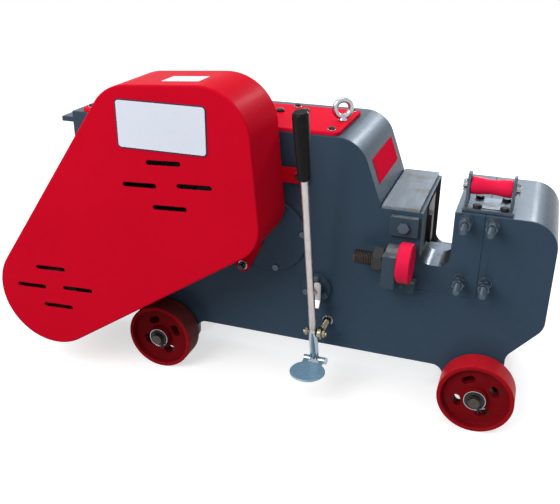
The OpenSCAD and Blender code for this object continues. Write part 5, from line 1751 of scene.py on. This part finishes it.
@dataclass
class ClutchLever(Assembly):
    """The hand and foot lever: rod, plated tube, rubber grip, pedal, and its yellow pivot."""

    lean: float = 13.0
    rod_r: float = 8.0 * MM
    rod_end: float = 6.0 * MM
    rod_edge: float = 1.0 * MM
    tube_r: float = 10.0 * MM
    up: float = 528.0 * MM
    down: float = 82.0 * MM
    tube_top: float = 4.0 * MM
    tube_neck: float = 5.0 * MM
    grip_l: float = 140.0 * MM
    grip_r: float = 15.5 * MM
    grip_low_r: float = 11.5 * MM
    grip_lip: tuple = (2.0 * MM, 4.0 * MM)
    grip_round: float = 3.5 * MM
    grip_head: float = 0.86
    taper_to: float = 0.85
    taper: float = 0.8
    ribs: int = 26
    rib_rise: float = 0.45 * MM
    ribs_from: float = 0.1
    ribs_run: float = 0.72
    bar_r: float = 4.0 * MM
    bar_half: float = 26.0 * MM
    bar_edge: float = 0.8 * MM
    sleeve_r: float = 7.8 * MM
    sleeve_drop: float = 1.0 * MM
    sleeve_play: float = 2.0 * MM
    sleeve_nut: float = 4.0 * MM
    pedal_r: float = 39.0 * MM
    pedal_t: float = 5.0 * MM
    pedal_low_cut: float = 1.5 * MM
    pedal_top_cut: float = 1.2 * MM
    pedal_rim: float = 3.0 * MM
    pedal_dish: float = 0.9 * MM
    dish_rim: float = 0.45
    dish_steps: int = 8
    lug_r: float = 7.0 * MM
    lug_gap: tuple = (3.0 * MM, 2.0 * MM)
    strap_reach: float = 0.5
    strap_t: float = 0.9
    bolt_r: float = 5.0 * MM
    pin_edge: float = 0.7 * MM
    nut_h: float = 6.5 * MM
    nut_r: float = 9.0 * MM
    nut_in: float = 4.0 * MM
    nut_turn: float = 10.0
    eye_r: float = 13.0 * MM
    eye_w: float = 10.0 * MM
    eye_gap: float = 0.5 * MM
    eye_edge: float = 2.0 * MM
    stem_r: float = 6.0 * MM
    stem_pitch: float = 1.75 * MM
    seat_r: float = 12.0 * MM
    seat_t: float = 2.0 * MM
    seat_edge: float = 0.4 * MM
    seat_nut: tuple = (10.8 * MM, 7.8 * MM)

    def build(self) -> None:
        """Builds the lever's pieces."""
        joint = next(j for j in frame["joints"] if j["name"] == "lever_pull")
        self.pivot = Vector(joint["pos_m"])
        self.stand = Matrix.Translation(self.pivot) @ Matrix.Rotation(math.radians(self.lean), 4, "X")
        self._rod()
        self._grip()
        self._pedal()
        self._pivot()

    def _rod(self) -> None:
        """Builds the rod, the tube it is welded into, and the pedal's cross bar."""
        low = self.tube_top
        top = self.up - self.rod_end
        neck = low + self.tube_neck
        rod = turned([(0, low), (self.rod_r, low), (self.rod_r, top), (0, top)], 40)
        tube = turned([(0, -self.down), (self.tube_r, -self.down), (self.tube_r, low), (self.rod_r, neck),
                       (0, neck)], 40)
        build = self.start().add(round_edges(rod, self.rod_edge, 3), self.stand)
        build.add(round_edges(tube, self.rod_edge, 3), self.stand, 1)
        bar = round_edges(solid_rod(self.bar_r, 2 * self.bar_half), self.bar_edge)
        build.add(bar, self.stand @ at((-self.bar_half, 0, -self.down), Way.RIGHT), 1)
        long = 2 * self.bar_half - self.sleeve_play
        place = self.stand @ at((-long / 2, 0, -self.down - self.sleeve_drop), Way.RIGHT)
        build.add(round_edges(solid_rod(self.sleeve_r, long, 32), self.rod_edge), place, 1)
        build.add(hexagon(self.sleeve_r, self.sleeve_nut), place @ Matrix.Translation((0, 0, long)), 1)
        build.piece("lever_rod", Slot.LEVER, ["clutch_lever"], [Slot.LEVER, Look.CHROME], Body.LEVER.value)

    def _grip(self) -> None:
        """Builds the tapered rubber grip with its fine ribs."""
        low = self.up - self.grip_l
        side = []
        for i in range(self.ribs):
            for share, rise in ((0.0, 0.0), (0.35, self.rib_rise), (0.65, self.rib_rise)):
                t = self.ribs_from + self.ribs_run * (i + share) / self.ribs
                side.append((self._grip_radius(t) + rise, low + t * self.grip_l))
        lip, lip_h = self.grip_lip
        end = self.grip_round
        profile = [(0, low), (self.rod_r, low), (self.grip_low_r - lip, low),
                   (self.grip_low_r, low + lip_h), *side,
                   (self.grip_r, low + self.grip_head * self.grip_l), (self.grip_r, self.up - end),
                   (self.grip_r - end, self.up), (0, self.up)]
        build = self.start().add(turned(profile, 40), self.stand)
        build.piece("rubber_grip", Slot.GRIP, ["lever_grip"], body=Body.LEVER.value)

    def _grip_radius(self, t: float) -> float:
        """Radius of the grip at a share of its length."""
        return self.grip_low_r + (self.grip_r - self.grip_low_r) * min(1.0, t / self.taper_to) ** self.taper

    def _pedal(self) -> None:
        """Builds the dished foot plate and the two lugs that clamp it to the cross bar."""
        foot = self.stand @ Vector((0, 0, -self.down))
        middle = (foot.x, span("foot_pedal").lo.y + self.pedal_r, foot.z)
        r = self.pedal_r
        t = self.pedal_t
        low = self.pedal_low_cut
        top = self.pedal_top_cut
        n = self.dish_steps
        rim = self.dish_rim * t
        dish = [(r * k / n, rim - self.pedal_dish * (1 - (k / n) ** 2)) for k in range(n)]
        disc = turned([(0, -t / 2), (r - low, -t / 2), (r, -t / 2 + low), (r, t / 2 - top), (r - top, t / 2),
                       (r - self.pedal_rim, t / 2), *reversed(dish)], 64)
        build = self.start().add(disc, at(middle))
        outer, inner = self.lug_gap
        lug_l = self.bar_half - self.tube_r - outer - inner
        reach = foot.y - self.bar_r - middle[1] - self.strap_reach * r
        strap_y = foot.y - self.bar_r - reach / 2
        for x in (-self.bar_half + outer, self.tube_r + inner):
            lug = round_edges(flat_ring(self.bar_r, self.lug_r, lug_l, 32), self.bar_edge)
            build.add(lug, at((foot.x + x, foot.y, foot.z), Way.RIGHT))
            strap = round_edges(plate(rectangle(lug_l, reach), self.strap_t * t), self.bar_edge)
            build.add(strap, at((foot.x + x + lug_l / 2, strap_y, foot.z - self.strap_t * t / 2)))
        build.piece("foot_plate", Slot.LEVER, ["foot_pedal"], [Look.PEDAL], Body.LEVER.value)

    def _pivot(self) -> None:
        """Builds the yellow-plated eye bolt, pivot bolt and nuts."""
        box = span("lever_pivot")
        x, y, z = self.pivot
        pin = round_edges(solid_rod(self.bolt_r, box.size.x), self.pin_edge)
        build = self.start().add(pin, at((box.lo.x, y, z), Way.RIGHT))
        eye_x = x + self.tube_r + self.eye_gap
        eye = round_edges(flat_ring(self.bolt_r, self.eye_r, self.eye_w), self.eye_edge, 3)
        build.add(eye, at((eye_x, y, z), Way.RIGHT))
        for foot in (box.lo.x + self.nut_in, box.hi.x - self.nut_in - self.nut_h):
            nut = hexagon(self.nut_r, self.nut_h, self.bolt_r)
            build.add(nut, at((foot, y, z), Way.RIGHT, self.nut_turn))
        eye_mid = eye_x + self.eye_w / 2
        stem = threaded(self.stem_r, self.stem_pitch, box.hi.y - y)
        build.add(stem, at((eye_mid, box.hi.y, z), Way.FRONT))
        face = span("body_shell").lo.y
        washer = round_edges(flat_ring(self.stem_r, self.seat_r, self.seat_t, 36), self.seat_edge, 1)
        build.add(washer, at((eye_mid, face, z), Way.FRONT), 1)
        build.add(hexagon(*self.seat_nut, self.stem_r), at((eye_mid, face - self.seat_t, z), Way.FRONT), 2)
        build.piece("pivot_hardware", Slot.YELLOW, ["lever_pivot"], [Slot.YELLOW, Slot.ZINC, Slot.DARK])


@dataclass
class ClutchRod(Assembly):
    """The sliding clutch rod with its bent arm and nut, and the bolts of its flange."""

    rod_r: float = 10.0 * MM
    edge: float = 0.8 * MM
    arm_w: float = 16.0 * MM
    arm_t: float = 6.0 * MM
    arm_r: float = 6.0 * MM
    arm_up: float = 26.0 * MM
    arm_drop: float = 24.0 * MM
    arm_shift: float = 10.0 * MM
    bend_l: float = 20.0 * MM
    bend_r: float = 2.0 * MM
    bend_rise: float = 6.0 * MM
    bend_turn: float = 30.0
    nut_h: float = 7.15 * MM
    nut_r: float = 9.9 * MM
    nut_turn: float = 12.0
    boss_r: float = 16.0 * MM
    boss_h: float = 4.0 * MM
    boss_play: float = 0.5 * MM
    boss_edge: float = 1.0 * MM
    bolts: int = 3
    bolt_ring: float = 25.0 * MM
    bolt_turn: float = 87.0
    bolt_r: float = 7.5 * MM
    bolt_h: float = 5.4 * MM
    bolt_sink: float = 0.4 * MM
    head_turn: float = 17.0

    def build(self) -> None:
        """Builds the rod, the arm and the nut as one piece, then the flange's bolts."""
        box = span("clutch_rod")
        flange = span("clutch_flange")
        x, z = flange.centre.x, flange.centre.z
        front = box.lo.y + self.nut_h
        back = front + self.arm_t
        rod = round_edges(solid_rod(self.rod_r, box.hi.y - front, 32), self.edge)
        build = self.start().add(rod, at((x, box.hi.y, z), Way.FRONT))
        arm = plate(rectangle(self.arm_w, self.arm_up + self.arm_drop), self.arm_t, self.arm_r)
        round_edges(arm, self.edge)
        arm_x = x + self.arm_shift
        build.add(arm, at((arm_x, back, z + (self.arm_up - self.arm_drop) / 2), Way.FRONT))
        toe = round_edges(plate(rectangle(self.arm_w, self.bend_l), self.arm_t, self.bend_r), self.edge)
        bend = Matrix.Translation((arm_x, back, z - self.arm_drop + self.bend_rise))
        bend = bend @ Matrix.Rotation(math.radians(-self.bend_turn), 4, "X")
        build.add(toe, bend @ at((0, 0, -self.bend_l / 2), Way.FRONT))
        build.add(hexagon(self.nut_r, self.nut_h), at((x, front, z), Way.FRONT, self.nut_turn))
        build.piece("clutch_rod_arm", Slot.LEVER, ["clutch_rod"], body=Body.CLUTCH.value)
        self._flange_bolts(flange)

    def _flange_bolts(self, flange: Span) -> None:
        """Builds the boss around the rod and the bolt heads on the flange.

        Args:
            flange: Span of the flange with its bolts.
        """
        x, z = flange.centre.x, flange.centre.z
        face = flange.lo.y + self.bolt_h - self.bolt_sink
        boss = round_edges(flat_ring(self.rod_r + self.boss_play, self.boss_r, self.boss_h), self.boss_edge)
        build = self.start().add(boss, at((x, face, z), Way.FRONT))
        for i in range(self.bolts):
            angle = math.radians(self.bolt_turn + 360.0 / self.bolts * i)
            spot = (x + self.bolt_ring * math.cos(angle), face, z + self.bolt_ring * math.sin(angle))
            build.add(hexagon(self.bolt_r, self.bolt_h), at(spot, Way.FRONT, self.head_turn * i), 1)
        build.piece("clutch_flange_bolts", Slot.BODY, looks=[Slot.BODY, Look.STUD])


@dataclass
class HumpTag(Assembly):
    """The bare red tag on the slope of the hump."""

    size: tuple = (54.5 * MM, 188.0 * MM)
    thick: float = 1.0 * MM
    edge: float = 0.3 * MM
    slope: float = 20.0
    middle_z: float = 520.0 * MM
    middle_y: float = 131.0 * MM

    def build(self) -> None:
        """Builds the tag on the slope's plane."""
        guide = span("guide_plate")
        foot = Vector((guide.lo.x, span("body_shell").lo.y + self.middle_y, guide.lo.z))
        rise = self.middle_z - foot.z
        lean = math.radians(self.slope)
        spot = foot + Vector((-rise * math.tan(lean), 0.0, rise))
        place = Matrix.Translation(spot) @ Matrix.Rotation(math.pi / 2 - lean, 4, "Y")
        tag = round_edges(plate(rectangle(*self.size), self.thick), self.edge, 1)
        self.start().add(tag, place).piece("hump_tag", Slot.BRIGHT, looks=[Look.TAG])


@dataclass(frozen=True)
class Softbox:
    """One soft lamp of the studio."""

    name: str
    place: tuple[float, float, float]
    power: float
    width: float
    height: float
    color: Color = WHITE


@dataclass
class Studio:
    """Pale floor, soft lamps and a white surround."""

    floor_size: float = 30.0
    floor_color: float = 0.75
    floor_bounce: float = 0.3
    floor_glow: float = 0.6
    sky: float = 0.55
    ground: float = 0.2
    horizon: tuple = (-0.3, 0.6)
    lamps: tuple = (
        Softbox("key_softbox", (-1.2, -2.6, 2.4), 72.0, 2.0, 2.0),
        Softbox("top_softbox", (0.0, 0.3, 2.8), 20.0, 2.2, 2.2),
        Softbox("back_softbox", (0.75, 3.0, 1.66), 16.0, 1.7, 0.8, (0.72, 0.88, 1.0)),
        Softbox("strip_softbox", (0.85, 3.0, 1.98), 22.0, 0.35, 0.36, (0.95, 0.95, 1.0)),
    )

    def build(self) -> None:
        """Builds the floor, the lamps and the world."""
        self._floor()
        for lamp in self.lamps:
            self._lamp(lamp)
        self._world()

    def _seen(self, g: Graph) -> bpy.types.NodeSocket:
        """1 where the camera, a reflection or a refraction looks.

        Args:
            g: The graph to write in.

        Returns:
            The socket that says so.
        """
        path = g.add("ShaderNodeLightPath").outputs
        seen = g.math("MAXIMUM", path["Is Camera Ray"], path["Is Glossy Ray"])
        return g.math("MAXIMUM", seen, path["Is Transmission Ray"])

    def _floor(self) -> None:
        """Builds the floor, which stays white to the eye but keeps the shadow."""
        bm = bmesh.new()
        bmesh.ops.create_grid(bm, x_segments=1, y_segments=1, size=self.floor_size / 2)
        mesh = bpy.data.meshes.new("floor")
        bm.to_mesh(mesh)
        bm.free()
        material = bpy.data.materials.new("pale_floor")
        material.use_nodes = True
        material.node_tree.nodes.clear()
        g = Graph(material.node_tree)
        seen = self._seen(g)
        pale = g.mix(seen, rgba((self.floor_bounce,) * 3), rgba((self.floor_color,) * 3))
        matt = g.add("ShaderNodeBsdfDiffuse", {"Color": pale})
        strength = g.math("MULTIPLY", seen, self.floor_glow)
        glow = g.add("ShaderNodeEmission", {"Color": rgba(WHITE), "Strength": strength})
        both = g.add("ShaderNodeAddShader", {0: matt.outputs[0], 1: glow.outputs[0]})
        g.add("ShaderNodeOutputMaterial", {"Surface": both.outputs[0]})
        mesh.materials.append(material)
        floor = bpy.data.objects.new("floor", mesh)
        bpy.context.scene.collection.objects.link(floor)

    def _lamp(self, softbox: Softbox) -> None:
        """Adds a soft lamp that looks at the object.

        Args:
            softbox: Its place, power and size.
        """
        lamp = bpy.data.lights.new(softbox.name, "AREA")
        lamp.shape = "RECTANGLE"
        lamp.energy = softbox.power
        lamp.size = softbox.width
        lamp.size_y = softbox.height
        lamp.color = softbox.color
        holder = bpy.data.objects.new(softbox.name, lamp)
        aim = (cad_box[0] + cad_box[1]) / 2 - Vector(softbox.place)
        turn = aim.to_track_quat("-Z", "Y").to_matrix().to_4x4()
        holder.matrix_world = Matrix.Translation(softbox.place) @ turn
        bpy.context.scene.collection.objects.link(holder)

    def _world(self) -> None:
        """Sets an even surround, white where it is seen."""
        world = bpy.data.worlds.new("surround")
        bpy.context.scene.world = world
        world.use_nodes = True
        world.node_tree.nodes.clear()
        g = Graph(world.node_tree)
        way = g.add("ShaderNodeTexCoord").outputs["Generated"]
        rise = g.add("ShaderNodeSeparateXYZ", {0: way}).outputs["Z"]
        ambient = g.remap(rise, *self.horizon, self.ground, self.sky)
        strength = g.blend(self._seen(g), ambient, 1.0)
        back = g.add("ShaderNodeBackground", {"Color": rgba(WHITE), "Strength": strength})
        g.add("ShaderNodeOutputWorld", {"Surface": back.outputs[0]})


@dataclass
class PhotoCamera:
    """Camera at the photograph's place and angle."""

    place: tuple = (0.5259, -1.4792, 0.9979)
    yaw: float = 19.48
    pitch: float = 24.35
    roll: float = 0.34
    focal_px: float = 737.75
    middle_px: float = 278.55
    sensor: float = 36.0
    reach: float = 100.0

    def build(self) -> None:
        """Adds the camera."""
        camera = bpy.data.cameras.new("photo_camera")
        camera.sensor_width = self.sensor
        camera.lens = self.focal_px / PHOTO_WIDTH * self.sensor
        camera.shift_x = 0.5 - self.middle_px / PHOTO_WIDTH
        camera.clip_end = self.reach
        holder = bpy.data.objects.new("photo_camera", camera)
        aim = Matrix.Rotation(math.radians(self.yaw), 4, "Z")
        aim = aim @ Matrix.Rotation(math.radians(90.0 - self.pitch), 4, "X")
        aim = aim @ Matrix.Rotation(math.radians(self.roll), 4, "Z")
        holder.matrix_world = Matrix.Translation(self.place) @ aim
        bpy.context.scene.collection.objects.link(holder)
        bpy.context.scene.camera = holder


SOFT_EDGED = (
    ("body_shell", Slot.BODY, 2.0 * MM),
    ("throat_block", Slot.BODY, 0.7 * MM),
    ("slide_cover", Slot.BODY, 1.6 * MM, Look.BRACKET),
    ("hold_down_bracket", Slot.BODY, 2.0 * MM, Look.BRACKET),
    ("bearing_covers", Slot.BODY, 2.0 * MM),
    ("clutch_flange", Slot.BODY, 1.5 * MM),
    ("guide_plate", Slot.WORN, 1.2 * MM),
    ("roller_stand", Slot.DARK, 1.0 * MM, Look.STAND),
    ("motor_plate", Slot.BODY, 1.5 * MM),
    ("guard_back", Slot.GUARD, 0.8 * MM),
    ("terminal_box", Slot.MOTOR, 2.0 * MM),
)
ASSEMBLIES = (BeltGuard, TopCover, JawHardware, HoldDown, FeedRoller, Axles, ClutchLever, ClutchRod, HumpTag)
WHEELS = ("front_near", "front_far", "rear_near", "rear_far")
# Flywheel and motor pulley take dark steel, a painted shade that keeps them dark behind the guard's vents.
NODE_LOOKS: dict[str, Coat] = {
    "ram": Slot.DARK, "moving_blade": Slot.DARK, "fixed_blade": Look.OILY, "flywheel": Slot.DARK,
    "motor_pulley": Slot.DARK, "bearing_cover_bolts": Look.STUD, "guard_studs": Slot.DARK,
}


def dress_frame(finishes: Finishes) -> None:
    """Gives every frame node the material of its slot, or its own look.

    Args:
        finishes: The materials by slot and look.
    """
    for name, node in frame["nodes"].items():
        look = NODE_LOOKS.get(name) or Slot(node.data.materials[0].name)
        node.data.materials[0] = finishes[look]


def main() -> None:
    """Builds the finishes, the pieces, the studio and the camera."""
    logging.basicConfig(level=logging.INFO, format="%(name)s %(message)s")
    bpy.context.scene.view_settings.view_transform = "Standard"
    PhotoCamera().build()
    Studio().build()
    effects = Effects()
    finishes = {look: finish.material(look.value, effects) for look, finish in FINISHES.items()}
    dress_frame(finishes)
    for row in SOFT_EDGED:
        SoftEdges(finishes).build(*row)
    for assembly in ASSEMBLIES:
        assembly(finishes).build()
    for wheel in WHEELS:
        end, side = wheel.split("_")
        tread = Slot.WHEEL if end == "front" else Look.RUSTY
        CastWheel(finishes).build(f"{end}_wheel_{side}", f"wheel_{wheel}", tread)


if __name__ == "__main__":
    main()
